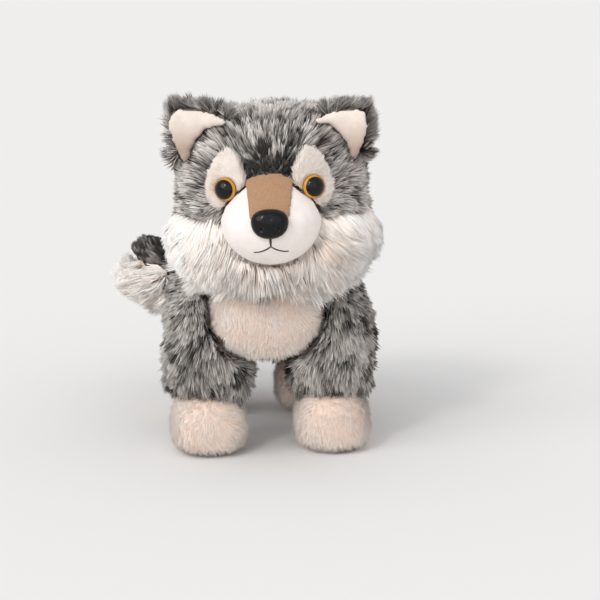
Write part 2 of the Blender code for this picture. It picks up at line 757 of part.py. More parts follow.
def welded_mesh(curve_object):
    """A closed mesh of a bevelled curve, whose object is then removed."""
    graph = bpy.context.evaluated_depsgraph_get()
    mesh = bpy.data.meshes.new_from_object(curve_object.evaluated_get(graph))
    bpy.data.objects.remove(curve_object)
    shape = bmesh.new()
    shape.from_mesh(mesh)
    bmesh.ops.remove_doubles(shape, verts=shape.verts, dist=0.00002)
    bmesh.ops.recalc_face_normals(shape, faces=shape.faces)
    shape.to_mesh(mesh)
    shape.free()
    return mesh


def ear_outline(unit, width, height):
    """A rounded triangle: wide at its root, narrow at its tip. Unit is a direction in its plane."""
    up = unit.z
    taper = 1 - EAR_TAPER * max(0.0, up) ** EAR_TAPER_POWER
    return unit.x * width / 2 * taper, up * (height if up > 0 else EAR_SINK)


def ear_place(side):
    """The ear's own axes: Z to its tip, -Y out of its face."""
    root = Vector((side * EAR_SPREAD, -EAR_FORWARD, EAR_RISE - side * EAR_UNEVEN))
    lean = Matrix.Rotation(math.radians(side * EAR_LEAN), 4, "Y")
    back = Matrix.Rotation(math.radians(-EAR_BACK), 4, "X")
    face = Matrix.Rotation(math.radians(side * EAR_FACE), 4, "Z")
    return Matrix.Translation(root) @ face @ back @ lean


def ear_sheet(width, height, thickness, bow, fineness):
    """A padded sheet of the ear's outline, hollowed on its face."""
    shape = ball(*fineness)
    for vertex in shape.verts:
        unit = vertex.co.normalized()
        unit = Vector((unit.x, -unit.z, unit.y))
        across, height_here = ear_outline(unit, width, height)
        hollow = bow * (1 - min(1.0, (2 * across / width) ** 2)) * max(0.0, 1 - (height_here / height) ** 2)
        vertex.co = Vector((across, unit.y * thickness / 2 + hollow, height_here))
    return shape


def make_ear(side_name, side, head):
    """Grey ear back with a shaggy edge, and its short-pile lining."""
    place = ear_place(side)
    shape = ear_sheet(EAR_WIDTH, EAR_HEIGHT, EAR_THICKNESS, EAR_HOLLOW, EAR_STEPS)
    tuft(shape, TUFT_EAR, EAR_COMB, lambda point: point.z > 0 and point.y > 0)
    ear = add_piece("ear_" + side_name, shape, finish("ear_pile_" + side_name, GREY, 0.95), HEAD, place)
    trim(ear, head)
    lining_shape = ear_sheet(EAR_WIDTH - 2 * LINING_MARGIN, EAR_HEIGHT - LINING_MARGIN, LINING_THICKNESS,
                             EAR_HOLLOW, LINING_STEPS)
    for vertex in lining_shape.verts:
        vertex.co.y -= EAR_THICKNESS / 2
    lining = add_piece("ear_lining_" + side_name, lining_shape,
                       finish("lining_pile_" + side_name, WHITE, 0.9), HEAD, place)
    trim(lining, head)
    trim(ear, lining)
    return ear, lining


def tail_path(share, offset):
    """A point on the tail's middle line, from its root to its tip, moved towards its inner side."""
    root_z = TORSO_Z - TAIL_ROOT_DROP
    start = Vector((-TAIL_ROOT_SHIFT, TORSO_LENGTH / 2 - TAIL_ROOT_SINK, root_z))
    sweep = math.sin(share * math.pi / 2)
    rise = 1 - math.cos(share * math.pi / 2)
    inner = Vector(TAIL_INNER).normalized() * offset
    out = Vector((-TAIL_LENGTH_OUT * sweep, TAIL_LENGTH_BACK * sweep, TAIL_RISE * rise - TAIL_SAG * sweep))
    return start + out + inner


def tail_lobe(radius, offset):
    """A bushy lobe along the tail's middle line."""
    shape = ball(*TAIL_STEPS)
    for vertex in shape.verts:
        unit = vertex.co.normalized()
        place = math.acos(max(-1.0, min(1.0, -unit.z))) / math.pi
        before, after = max(0.0, place - TAIL_STEP), min(1.0, place + TAIL_STEP)
        ahead = (tail_path(after, offset) - tail_path(before, offset)).normalized()
        across = ahead.cross(Vector((0, 0, 1))).normalized()
        upward = across.cross(ahead)
        turn = math.atan2(unit.y, unit.x)
        girth = radius * math.sin(math.pi * place) ** TAIL_BLUNTNESS
        girth *= TAIL_ROOT_GIRTH + TAIL_GIRTH_GAIN * place
        vertex.co = tail_path(place, offset) + (across * math.cos(turn) + upward * math.sin(turn)) * girth
    if shape.calc_volume(signed=True) < 0:
        bmesh.ops.reverse_faces(shape, faces=shape.faces)
    return shape


def make_tail(torso, thigh):
    """Bushy tail: a dark strip along its upper side and long cream pile round the rest."""
    strip_shape = tail_lobe(TAIL_STRIP_RADIUS, TAIL_STRIP_OFFSET)
    tuft(strip_shape, TUFT_BODY, STRIP_COMB)
    strip = add_piece("tail_top", strip_shape, finish("tail_top_pile", DARK, 0.95))
    under_shape = tail_lobe(TAIL_RADIUS, 0.0)
    tuft(under_shape, TUFT_LONG, TAIL_COMB)
    under = add_piece("tail_underside", under_shape, finish("tail_underside_pile", CREAM, 0.95))
    trim(strip, torso, thigh)
    trim(under, torso, thigh, strip)
    return strip, under


def island(start):
    """The vertices that hang together with the given one."""
    found = {start}
    front = [start]
    while front:
        for edge in front.pop().link_edges:
            for vertex in edge.verts:
                if vertex not in found:
                    found.add(vertex)
                    front.append(vertex)
    return found


def drop_scraps():
    """Applies the cuts, and leaves out the slivers that a cut has parted from a piece."""
    bpy.context.view_layer.update()
    graph = bpy.context.evaluated_depsgraph_get()
    cut_pieces = [piece for piece in WOLF.objects if piece.type == "MESH" and piece.modifiers]
    meshes = [bpy.data.meshes.new_from_object(piece.evaluated_get(graph)) for piece in cut_pieces]
    for piece, mesh in zip(cut_pieces, meshes):
        shape = bmesh.new()
        shape.from_mesh(mesh)
        islands = []
        left = set(shape.verts)
        while left:
            islands.append(island(next(iter(left))))
            left -= islands[-1]
        islands.sort(key=len)
        scraps = [vertex for group in islands[:-1] for vertex in group]
        if scraps:
            bmesh.ops.delete(shape, geom=scraps, context="VERTS")
        in_order(shape)
        shape.to_mesh(mesh)
        shape.free()
        piece.modifiers.clear()
        piece.data = mesh


def build():
    """Makes every piece, from the body out to the parts that are fixed on it."""
    torso = make_torso()
    chest = make_chest(torso)
    front_legs = []
    front, hind = -WHEELBASE / 2, WHEELBASE / 2
    for side_name, side in SIDES:
        paw = make_paw("front_paw_" + side_name, side, FRONT_STANCE, front)
        front_legs.append(make_leg("front_leg_" + side_name, side, FRONT_STANCE, front,
                                   SHOULDER_RISE, LEG_DEPTH, [torso, paw, chest]))
        stance = HIND_STANCE + side * HIND_SHIFT
        paw = make_paw("hind_paw_" + side_name, side, stance, hind)
        thigh = make_leg("hind_leg_" + side_name, side, stance, hind,
                         HIP_RISE, LEG_DEPTH + HIND_DEPTH_EXTRA, [torso, paw])
    head = make_head()
    boolean(torso, puffed_copy(head, PUFF))
    muzzle = make_muzzle(head)
    make_ruff([head, muzzle, torso, chest, *front_legs])
    bridge = make_bridge(head, muzzle)
    for side_name, side in SIDES:
        patch = make_patch("eye_patch_" + side_name, side, head, muzzle)
        make_eye(side_name, side, head, patch)
        make_ear(side_name, side, head)
    nose = make_nose(muzzle, bridge)
    make_mouth(muzzle, nose)
    make_tail(torso, thigh)


def settle():
    """Moves the whole wolf so that the origin is under the middle of its box."""
    bpy.context.view_layer.update()
    graph = bpy.context.evaluated_depsgraph_get()
    corners = []
    for piece in WOLF.objects:
        if piece.type != "MESH":
            continue
        shown = piece.evaluated_get(graph)
        corners += [shown.matrix_world @ vertex.co for vertex in shown.data.vertices]
    for axis in (0, 1):
        values = [corner[axis] for corner in corners]
        WHOLE.location[axis] = -(min(values) + max(values)) / 2


build()
drop_scraps()
settle()
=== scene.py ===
"""Plush wolf cub as it is seen: combed long pile, short pile, moulded eyes and nose, sewn mouth.

Metres, +Z up, and the wolf faces -Y. Each stuffed bag is swelled from its solid in the frame, and
the pile is grown on it as locks of tapered strands.
"""

import json
import logging
import math
from collections.abc import Callable, Sequence
from dataclasses import dataclass, field
from enum import Enum

import bmesh
import bpy
import numpy as np
from mathutils import Matrix, Vector
from mathutils.bvhtree import BVHTree
from mathutils.kdtree import KDTree

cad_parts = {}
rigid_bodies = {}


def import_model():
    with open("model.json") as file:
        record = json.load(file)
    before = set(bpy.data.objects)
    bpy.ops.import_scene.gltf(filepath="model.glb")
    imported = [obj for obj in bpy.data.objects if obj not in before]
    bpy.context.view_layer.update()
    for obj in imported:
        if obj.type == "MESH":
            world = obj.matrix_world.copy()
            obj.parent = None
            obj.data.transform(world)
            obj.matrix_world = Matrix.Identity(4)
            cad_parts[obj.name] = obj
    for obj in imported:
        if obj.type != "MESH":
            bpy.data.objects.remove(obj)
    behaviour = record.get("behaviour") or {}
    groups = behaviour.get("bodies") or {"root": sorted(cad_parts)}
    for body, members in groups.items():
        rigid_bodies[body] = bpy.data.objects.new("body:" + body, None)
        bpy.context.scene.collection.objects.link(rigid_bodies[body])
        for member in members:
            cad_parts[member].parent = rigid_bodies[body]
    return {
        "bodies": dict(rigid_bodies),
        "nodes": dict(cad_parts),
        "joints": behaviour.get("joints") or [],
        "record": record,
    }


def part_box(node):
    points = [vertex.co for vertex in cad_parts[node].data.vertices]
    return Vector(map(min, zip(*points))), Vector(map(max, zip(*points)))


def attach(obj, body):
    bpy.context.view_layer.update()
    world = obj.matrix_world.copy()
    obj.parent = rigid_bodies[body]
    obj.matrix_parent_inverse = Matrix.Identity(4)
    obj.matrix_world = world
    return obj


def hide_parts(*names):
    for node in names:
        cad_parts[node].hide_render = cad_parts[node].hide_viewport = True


LOG = logging.getLogger("plush_wolf")
UV_NAME = "OFBake"
LEG_NODES = ("front_leg_left", "front_leg_right", "hind_leg_left", "hind_leg_right")
GREY_LOCKS = ((0.0035, 0.38), (0.009, 0.22))
LONG_LOCKS = ((0.0045, 0.30), (0.012, 0.20))
SHORT_LOCKS = ((0.0050, 0.22),)
BLADE_ELBOW = 0.42  # way along a blade at which it is widest
BLADE_DEPTH = 0.4  # depth of a blade against half its width
PROBE = Vector((0.37, -0.51, 0.78)).normalized()  # way along which a ray tells inside from outside
CLOTH_GAP = 0.0003  # least height of a bag over the floor
PILE_GAP = 0.0002  # least height of a strand over the floor
MERGE = 0.00001
SHADE_MARGIN = 0.03
MAP_MARGIN = 0.02
CORNER_SPREAD = 0.006  # how far a strand's corners lie apart on the map
CORNER_WAY = (0.94, 0.34)
WAVE_COUNT = 6
WAVE_STEP = 0.12  # how much finer each wave is than the one before
WAVE_SUM = 2.4  # brings the sum of the waves to about 1
Colour = tuple[float, float, float]
Field = Callable[[np.ndarray, np.ndarray], np.ndarray]


def tint(red: float, green: float, blue: float) -> Colour:
    """A colour on the screen, 0 to 255, as the linear colour that a shader takes.

    Args:
        red: Red as it shows on the screen.
        green: Green as it shows on the screen.
        blue: Blue as it shows on the screen.

    Returns:
        The linear colour.
    """
    parts = (part / 255 for part in (red, green, blue))
    return tuple(part / 12.92 if part <= 0.04045 else ((part + 0.055) / 1.055) ** 2.4 for part in parts)


class Side(Enum):
    """The wolf's own left and right, as the sign of their X."""

    LEFT = 1
    RIGHT = -1

    @property
    def word(self) -> str:
        """The side's name as the nodes spell it."""
        return self.name.lower()


class Strand(Enum):
    """How a strand of pile is built."""

    SHORT = "short"
    BLADE = "blade"


# ---------------------------------------------------------------- shader maths


class Number:
    """A value of a material, on which the arithmetic operators add Math nodes."""

    def __init__(self, paint: "Paint", output: bpy.types.NodeSocket) -> None:
        """Wraps an output socket.

        Args:
            paint: The material that the socket is in.
            output: The socket that gives the value.
        """
        self.paint = paint
        self.output = output

    def join(self, operation: str, *items: "Number | float") -> "Number":
        """Adds one Math node.

        Args:
            operation: The Math node's operation.
            items: Its inputs, in their order.

        Returns:
            The node's result.
        """
        made = self.paint.node("ShaderNodeMath", {"operation": operation}, dict(enumerate(items)))
        return Number(self.paint, made.outputs[0])

    def __add__(self, other: "Number | float") -> "Number":
        """The sum."""
        return self.join("ADD", self, other)

    def __radd__(self, other: float) -> "Number":
        """The sum with a plain number first."""
        return self.join("ADD", other, self)

    def __sub__(self, other: "Number | float") -> "Number":
        """The difference."""
        return self.join("SUBTRACT", self, other)

    def __rsub__(self, other: float) -> "Number":
        """The difference from a plain number."""
        return self.join("SUBTRACT", other, self)

    def __mul__(self, other: "Number | float") -> "Number":
        """The product."""
        return self.join("MULTIPLY", self, other)

    def __rmul__(self, other: float) -> "Number":
        """The product with a plain number first."""
        return self.join("MULTIPLY", other, self)

    def limited(self) -> "Number":
        """The value kept between 0 and 1."""
        return self.join("MINIMUM", self.join("MAXIMUM", self, 0.0), 1.0)


class Paint:
    """A material in the making: its Principled shader and the nodes that feed it."""

    def __init__(self, name: str) -> None:
        """Starts a material.

        Args:
            name: The material's name.
        """
        self.material = bpy.data.materials.new(name)
        self.material.use_nodes = True
        self.tree = self.material.node_tree
        self.shader = self.tree.nodes["Principled BSDF"]

    def feed(self, socket: bpy.types.NodeSocket, item: object) -> None:
        """Links or sets a socket.

        Args:
            socket: The input that is filled.
            item: A Number, an output socket, a colour or a plain value.
        """
        if isinstance(item, Number):
            self.tree.links.new(item.output, socket)
        elif isinstance(item, bpy.types.NodeSocket):
            self.tree.links.new(item, socket)
        elif socket.type == "RGBA" and len(item) == 3:
            socket.default_value = (*item, 1.0)
        else:
            socket.default_value = item

    def node(self, kind: str, settings: dict | None = None, inputs: dict | None = None) -> bpy.types.Node:
        """Adds one node.

        Args:
            kind: The node's type.
            settings: Its settings by name; "stops" are a ramp's (position, colour) pairs.
            inputs: What its inputs get, by name or number.

        Returns:
            The node.
        """
        made = self.tree.nodes.new(kind)
        for name, setting in (settings or {}).items():
            if name != "stops":
                setattr(made, name, setting)
                continue
            elements = made.color_ramp.elements
            while len(elements) < len(setting):
                elements.new(0.5)
            for element, (position, colour) in zip(elements, setting):
                element.position = position
                element.color = (*colour, 1.0)
        for key, item in (inputs or {}).items():
            self.feed(made.inputs[key], item)
        return made

    def ramp(self, value: Number, stops: Sequence[tuple[float, Colour]]) -> bpy.types.NodeSocket:
        """A colour looked up by a value."""
        return self.node("ShaderNodeValToRGB", {"stops": stops}, {"Fac": value}).outputs["Color"]

    def mix(self, factor: Number | float, first: object, second: object) -> bpy.types.NodeSocket:
        """Mixes two colours.

        Args:
            factor: The share of the second colour.
            first: A colour or a socket.
            second: A colour or a socket.

        Returns:
            The mixed colour's socket.
        """
        made = self.node("ShaderNodeMix", {"data_type": "RGBA"}, {0: factor, 6: first, 7: second})
        return made.outputs[2]

    def place(self) -> bpy.types.NodeSocket:
        """The place in the object's own axes."""
        return self.node("ShaderNodeTexCoord").outputs["Object"]

    def along(self, axis: int) -> Number:
        """The place along one of the object's own axes, 0 to 2."""
        parts = self.node("ShaderNodeSeparateXYZ", None, {0: self.place()})
        return Number(self, parts.outputs[axis])

    def noise(self, scale: float, detail: float) -> Number:
        """A soft random value over the object.

        Args:
            scale: Waves a metre.
            detail: How many finer waves ride on it.

        Returns:
            The value, about 0.5 on average.
        """
        inputs = {"Vector": self.place(), "Scale": scale, "Detail": detail}
        made = self.node("ShaderNodeTexNoise", None, inputs)
        return Number(self, made.outputs[0])

    def bump(self, height: Number, strength: float, distance: float) -> None:
        """Feeds the shader's normal with a bump.

        Args:
            height: The bump's height.
            strength: The share of it that shows.
            distance: The height in metres of a value of 1.
        """
        inputs = {"Strength": strength, "Distance": distance, "Height": height}
        made = self.node("ShaderNodeBump", None, inputs)
        self.feed(self.shader.inputs["Normal"], made.outputs[0])

    def settle(self, **values: object) -> bpy.types.Material:
        """Fills the shader's sockets, named with underscores for spaces, and gives the material."""
        for name, value in values.items():
            self.feed(self.shader.inputs[name.replace("_", " ")], value)
        return self.material


# ---------------------------------------------------------------- finishes


@dataclass(frozen=True)
class PileFinish:
    """Pile whose strands go from a root colour to a tip colour, from dark strands to light ones. The darker
    roots are partly the pile's own darker base and partly painted shade deep in the pile.
    """

    name: str
    roots: tuple[Colour, Colour, Colour]
    tips: tuple[Colour, Colour, Colour]
    marks: tuple[float, float, float] = (0.08, 0.5, 0.92)
    root_share: float = 0.15
    blend: float = 1.35
    roughness: float = 0.75
    shine: float = 0.25

    def material(self) -> bpy.types.Material:
        """The material, which reads the strand's shade and the way along it from the map."""
        paint = Paint(self.name)
        place = paint.node("ShaderNodeUVMap", {"uv_map": UV_NAME}).outputs[0]
        parts = paint.node("ShaderNodeSeparateXYZ", None, {0: place})
        shade, along = Number(paint, parts.outputs[0]), Number(paint, parts.outputs[1])
        # painted shade in part: the darker root colour also stands for the shade deep in the pile
        root = paint.ramp(shade, list(zip(self.marks, self.roots)))
        tip = paint.ramp(shade, list(zip(self.marks, self.tips)))
        share = ((along - self.root_share) * self.blend).limited()
        return paint.settle(Base_Color=paint.mix(share, root, tip), Roughness=self.roughness,
                            Specular_IOR_Level=self.shine)


@dataclass(frozen=True)
class ClothFinish:
    """Short velvety cloth: two close colours in soft patches, a fine nap, and another colour low down.

    The colour for low down lies under the level, and only where the cloth is before the given place: the
    cloth's own white on the head and the ruff, painted shade at the base of the ear lining.
    """

    name: str
    light: Colour
    dark: Colour
    patch_scale: float = 60.0
    patch_middle: float = 0.35
    patch_share: float = 1.6
    nap_scale: float = 1400.0
    nap_share: float = 0.9
    nap_strength: float = 0.6
    nap_height: float = 0.00025
    roughness: float = 0.9
    sheen: float = 0.15
    shine: float = 0.2
    low_colour_and_shade: Colour | None = None
    level: float = 0.0
    before: float = 1.0
    sharpness: float = 400.0

    def material(self) -> bpy.types.Material:
        """The material."""
        paint = Paint(self.name)
        patches = paint.noise(self.patch_scale, 4.0)
        nap = paint.noise(self.nap_scale, 2.0)
        share = (patches - self.patch_middle) * self.patch_share + (nap - 0.5) * self.nap_share
        paint.bump(nap, self.nap_strength, self.nap_height)
        colour = paint.mix(share.limited(), self.light, self.dark)
        # The colour low down is the cloth's own white on the head and the ruff, and painted shade at the base
        # of the ear lining.
        if self.low_colour_and_shade is not None:
            low = ((self.level - paint.along(2)) * self.sharpness + 0.5).limited()
            front = ((self.before - paint.along(1)) * self.sharpness + 0.5).limited()
            colour = paint.mix(low * front, colour, self.low_colour_and_shade)
        return paint.settle(Base_Color=colour, Roughness=self.roughness, Sheen_Weight=self.sheen,
                            Specular_IOR_Level=self.shine)


@dataclass(frozen=True)
class PlasticFinish:
    """Moulded plastic: an even colour with faint flow marks, and a skin that is a little uneven."""

    name: str
    colour: Colour
    roughness: float
    shine: float = 0.5
    flow_scale: float = 220.0
    flow_shade: float = 0.75
    flow_height: float = 0.00002
    flow_roughness: float = 0.06

    def material(self) -> bpy.types.Material:
        """The material."""
        paint = Paint(self.name)
        flow = paint.noise(self.flow_scale, 2.0)
        darker = tuple(part * self.flow_shade for part in self.colour)
        smoothest = self.roughness - self.flow_roughness / 2
        paint.bump(flow, 0.5, self.flow_height)
        return paint.settle(Base_Color=paint.mix(flow, self.colour, darker),
                            Roughness=flow * self.flow_roughness + smoothest, Specular_IOR_Level=self.shine)


@dataclass(frozen=True)
class ThreadFinish:
    """Twisted sewing thread."""

    name: str
    colour: Colour
    lighter_share: float = 3.0
    lighter_lift: float = 0.01
    twist_scale: float = 2600.0
    twist_strength: float = 0.8
    twist_height: float = 0.0002
    roughness: float = 0.7

    def material(self) -> bpy.types.Material:
        """The material."""
        paint = Paint(self.name)
        twist = paint.noise(self.twist_scale, 1.0)
        lighter = tuple(part * self.lighter_share + self.lighter_lift for part in self.colour)
        paint.bump(twist, self.twist_strength, self.twist_height)
        colour = paint.mix(twist, self.colour, lighter)
        return paint.settle(Base_Color=colour, Roughness=self.roughness)


# The root colours are partly each pile's own darker base and partly painted shade deep in the pile.
GREY_PILE = PileFinish(
    "grey_pile",
    (tint(26, 25, 24), tint(84, 79, 75), tint(140, 133, 126)),
    (tint(58, 55, 52), tint(206, 199, 192), tint(252, 246, 240)))
WHITE_PILE = PileFinish(
    "white_pile",
    (tint(246, 227, 213), tint(253, 243, 234), tint(255, 251, 247)),
    (tint(248, 233, 220), tint(254, 247, 240), tint(255, 253, 250)))
PEACH_PILE = PileFinish(
    "peach_pile",
    (tint(242, 214, 196), tint(252, 232, 217), tint(255, 242, 231)),
    (tint(252, 234, 220), tint(255, 245, 236), tint(255, 251, 246)))
CREAM_PILE = PileFinish(
    "cream_pile",
    (tint(224, 202, 184), tint(240, 224, 210), tint(250, 238, 227)),
    (tint(243, 228, 215), tint(253, 244, 236), tint(255, 251, 247)))
TAIL_PILE = PileFinish(
    "cream_pile",
    (tint(238, 221, 207), tint(248, 237, 226), tint(253, 246, 239)),
    (tint(248, 237, 227), tint(253, 247, 241), tint(255, 252, 249)))
DARK_PILE = PileFinish(
    "dark_pile",
    (tint(16, 15, 15), tint(36, 34, 32), tint(76, 72, 68)),
    (tint(28, 27, 26), tint(92, 88, 83), tint(206, 198, 190)))
EAR_PILE = PileFinish(
    "dark_pile",
    (tint(48, 45, 43), tint(104, 98, 92), tint(160, 152, 144)),
    (tint(84, 79, 75), tint(190, 182, 174), tint(252, 247, 242)))


# ---------------------------------------------------------------- frame and meshes


@dataclass
class Toy:
    """Where the wolf stands in the frame, and how its head is turned."""

    frame: dict
    paw_forward: float = 0.004
    head_reach: float = 0.067
    head_height: float = 0.193
    head_turn: float = -6.5
    head_roll: float = -2.0
    origin: Vector = field(init=False)
    head: Matrix = field(init=False)

    def __post_init__(self) -> None:
        """Finds the point on the floor under the torso's middle from the four paws."""
        middle = {}
        for name in ("front_paw_left", "front_paw_right", "hind_paw_left", "hind_paw_right"):
            low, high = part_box(name)
            middle[name] = (low + high) / 2
        across = (middle["front_paw_left"].x + middle["front_paw_right"].x) / 2
        along = (middle["front_paw_left"].y + middle["hind_paw_left"].y) / 2 + self.paw_forward
        self.origin = Vector((across, along, 0))
        pivot = self.origin + Vector((0, -self.head_reach, self.head_height))
        turn = Matrix.Rotation(math.radians(self.head_turn), 4, "Z")
        self.head = Matrix.Translation(pivot) @ turn @ Matrix.Rotation(math.radians(self.head_roll), 4, "Y")

    def in_body(self, points: np.ndarray) -> np.ndarray:
        """Places in the wolf's own axes."""
        return points - np.array(self.origin)

    def in_head(self, points: np.ndarray) -> np.ndarray:
        """Places in the head's own axes."""
        back = np.array(self.head.inverted())
        return points @ back[:3, :3].T + back[:3, 3]

    def from_head(self, ways: np.ndarray) -> np.ndarray:
        """Directions in the head's axes as directions in the frame."""
        return ways @ np.array(self.head)[:3, :3].T

    def solids(self, names: Sequence[str]) -> BVHTree:
        """A search tree of the faces of several nodes."""
        places: list = []
        faces: list = []
        for name in names:
            mesh = self.frame["nodes"][name].data
            start = len(places)
            places += [vertex.co.copy() for vertex in mesh.vertices]
            faces += [[start + index for index in face.vertices] for face in mesh.polygons]
        return BVHTree.FromPolygons(places, faces)


def unit(ways: np.ndarray) -> np.ndarray:
    """Directions at length 1."""
    return ways / np.maximum(np.linalg.norm(ways, axis=-1, keepdims=True), 1e-9)


def wave(points: np.ndarray, size: float, seed: int) -> np.ndarray:
    """A soft random field over places.

    Args:
        points: The places.
        size: The waves' length in metres.
        seed: Which field it is.

    Returns:
        A value for each place, mostly between -1 and 1.
    """
    dice = np.random.default_rng(seed)
    total = np.zeros(len(points))
    for step in range(WAVE_COUNT):
        way = unit(dice.normal(size=3))
        finer = 0.7 + WAVE_STEP * step
        total += np.sin(points @ way * math.tau / size * finer + dice.uniform(0, math.tau))
    return total / WAVE_SUM


def bell(distance: np.ndarray, width: float) -> np.ndarray:
    """A smooth bump that is 1 at no distance and gone at twice the width."""
    return np.exp(-((distance / width) ** 2) * 2)


def shown_mesh(piece: bpy.types.Object) -> bpy.types.Mesh:
    """A copy of the piece's mesh with its modifiers applied."""
    graph = bpy.context.evaluated_depsgraph_get()
    return bpy.data.meshes.new_from_object(piece.evaluated_get(graph))


def add_piece(name: str, mesh: bpy.types.Mesh, material: bpy.types.Material) -> bpy.types.Object:
    """Makes a piece that rides on the wolf.

    Args:
        name: The piece's name.
        mesh: Its mesh, in the frame's axes.
        material: Its finish.

    Returns:
        The piece.
    """
    mesh.materials.clear()
    mesh.materials.append(material)
    piece = bpy.data.objects.new(name, mesh)
    bpy.context.scene.collection.objects.link(piece)
    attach(piece, "root")
    return piece


@dataclass
class Bag:
    """A stuffed bag, smoothed and swelled from its solid in the frame.

    The inset is how far the cloth lies under the solid's skin, which is the mean height of its pile.
    """

    node: str
    inset: float
    voxel: float = 0.005
    rounds: int = 8
    swell: float = 0.002
    pressure: float = 4.0
    steps: int = 20
    fill: float = 0.8
    fine: int = 0
    joined: tuple[str, ...] = ()

    def mesh(self, toy: Toy) -> bpy.types.Mesh:
        """Remeshes, smooths and swells the solid.

        Args:
            toy: The wolf's place in the frame.

        Returns:
            The bag's closed mesh.
        """
        shape = bmesh.new()
        for name in (self.node, *self.joined):
            shape.from_mesh(toy.frame["nodes"][name].data)
        bmesh.ops.remove_doubles(shape, verts=shape.verts, dist=MERGE)
        mesh = bpy.data.meshes.new(self.node + "_bag")
        shape.to_mesh(mesh)
        shape.free()
        holder = bpy.data.objects.new(self.node + "_holder", mesh)
        bpy.context.scene.collection.objects.link(holder)
        remesh = holder.modifiers.new("even", "REMESH")
        remesh.mode = "VOXEL"
        remesh.voxel_size = self.voxel
        holder.data = self.softened(shown_mesh(holder))
        holder.modifiers.clear()
        if self.swell > 0:
            self.stuff(holder)
        if self.fine:
            subdivision = holder.modifiers.new("soft", "SUBSURF")
            subdivision.levels = self.fine
            subdivision.render_levels = self.fine
            holder.data = shown_mesh(holder)
        result = holder.data
        bpy.data.objects.remove(holder)
        result.shade_smooth()
        return result

    def softened(self, mesh: bpy.types.Mesh) -> bpy.types.Mesh:
        """Smooths the mesh and moves its surface in by the inset."""
        shape = bmesh.new()
        shape.from_mesh(mesh)
        for _ in range(self.rounds):
            bmesh.ops.smooth_vert(shape, verts=shape.verts, factor=0.5, use_axis_x=True, use_axis_y=True,
                                  use_axis_z=True)
        shape.normal_update()
        moves = [vertex.normal * self.inset for vertex in shape.verts]
        for vertex, move in zip(shape.verts, moves):
            vertex.co -= move
            vertex.co.z = max(vertex.co.z, CLOTH_GAP)
        shape.to_mesh(mesh)
        shape.free()
        return mesh

    def stuff(self, piece: bpy.types.Object) -> None:
        """Presses the stuffing against the cloth, and keeps each point within the swell.

        Args:
            piece: The bag, whose mesh is swelled.
        """
        mesh = piece.data
        start = np.empty(len(mesh.vertices) * 3)
        mesh.vertices.foreach_get("co", start)
        cloth = piece.modifiers.new("stuffing", "CLOTH")
        cloth.settings.use_pressure = True
        cloth.settings.uniform_pressure_force = self.pressure
        cloth.settings.effector_weights.gravity = 0.0
        cloth.collision_settings.use_collision = False
        cloth.point_cache.frame_start = 1
        cloth.point_cache.frame_end = self.steps
        for frame in range(1, self.steps + 1):
            bpy.context.scene.frame_set(frame)
        swelled = shown_mesh(piece)
        end = np.empty(len(mesh.vertices) * 3)
        swelled.vertices.foreach_get("co", end)
        piece.modifiers.remove(cloth)
        bpy.context.scene.frame_set(1)
        moves = (end - start).reshape(-1, 3)
        reach = np.linalg.norm(moves, axis=1, keepdims=True)
        moves *= np.minimum(1.0, self.swell / np.maximum(reach, 1e-9))
        places = start.reshape(-1, 3) + moves
        places[:, 2] = np.maximum(places[:, 2], CLOTH_GAP)
        mesh.vertices.foreach_set("co", places.ravel())
        mesh.update()
        bpy.data.meshes.remove(swelled)

    def make(self, toy: Toy, finish: ClothFinish | PileFinish, slot: str) -> bpy.types.Object:
        """Makes the bag as a piece that stands for its node.

        Args:
            toy: The wolf's place in the frame.
            finish: The cloth's finish.
            slot: Not used.

        Returns:
            The piece.
        """
        piece = add_piece(self.node + "_bag", self.mesh(toy), finish.material())
        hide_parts(self.node)
        LOG.info("%s: %d faces", piece.name, len(piece.data.polygons))
        return piece


def strand_shape(kind: Strand) -> tuple[np.ndarray, np.ndarray]:
    """One closed, pointed strand of length 1 along Z.

    Args:
        kind: How the strand is built.

    Returns:
        Its places, and its triangles as numbers of places.
    """
    shape = bmesh.new()
    bmesh.ops.create_cone(shape, cap_ends=True, segments=3, radius1=1.0, radius2=0.0, depth=1.0)
    bmesh.ops.translate(shape, verts=shape.verts, vec=(0, 0, 0.5))
    if kind is Strand.BLADE:
        foot = [vertex for vertex in shape.verts if vertex.co.z < 0.5]
        sides = ((-1, -BLADE_DEPTH, BLADE_ELBOW), (1, -BLADE_DEPTH, BLADE_ELBOW))
        for vertex, place in zip(foot, ((0, 0, 0), *sides)):
            vertex.co = place
        shape.normal_update()
        bmesh.ops.recalc_face_normals(shape, faces=shape.faces)
    shape.verts.index_update()
    places = np.array([vertex.co for vertex in shape.verts])
    faces = np.array([[vertex.index for vertex in face.verts] for face in shape.faces])
    shape.free()
    return places, faces


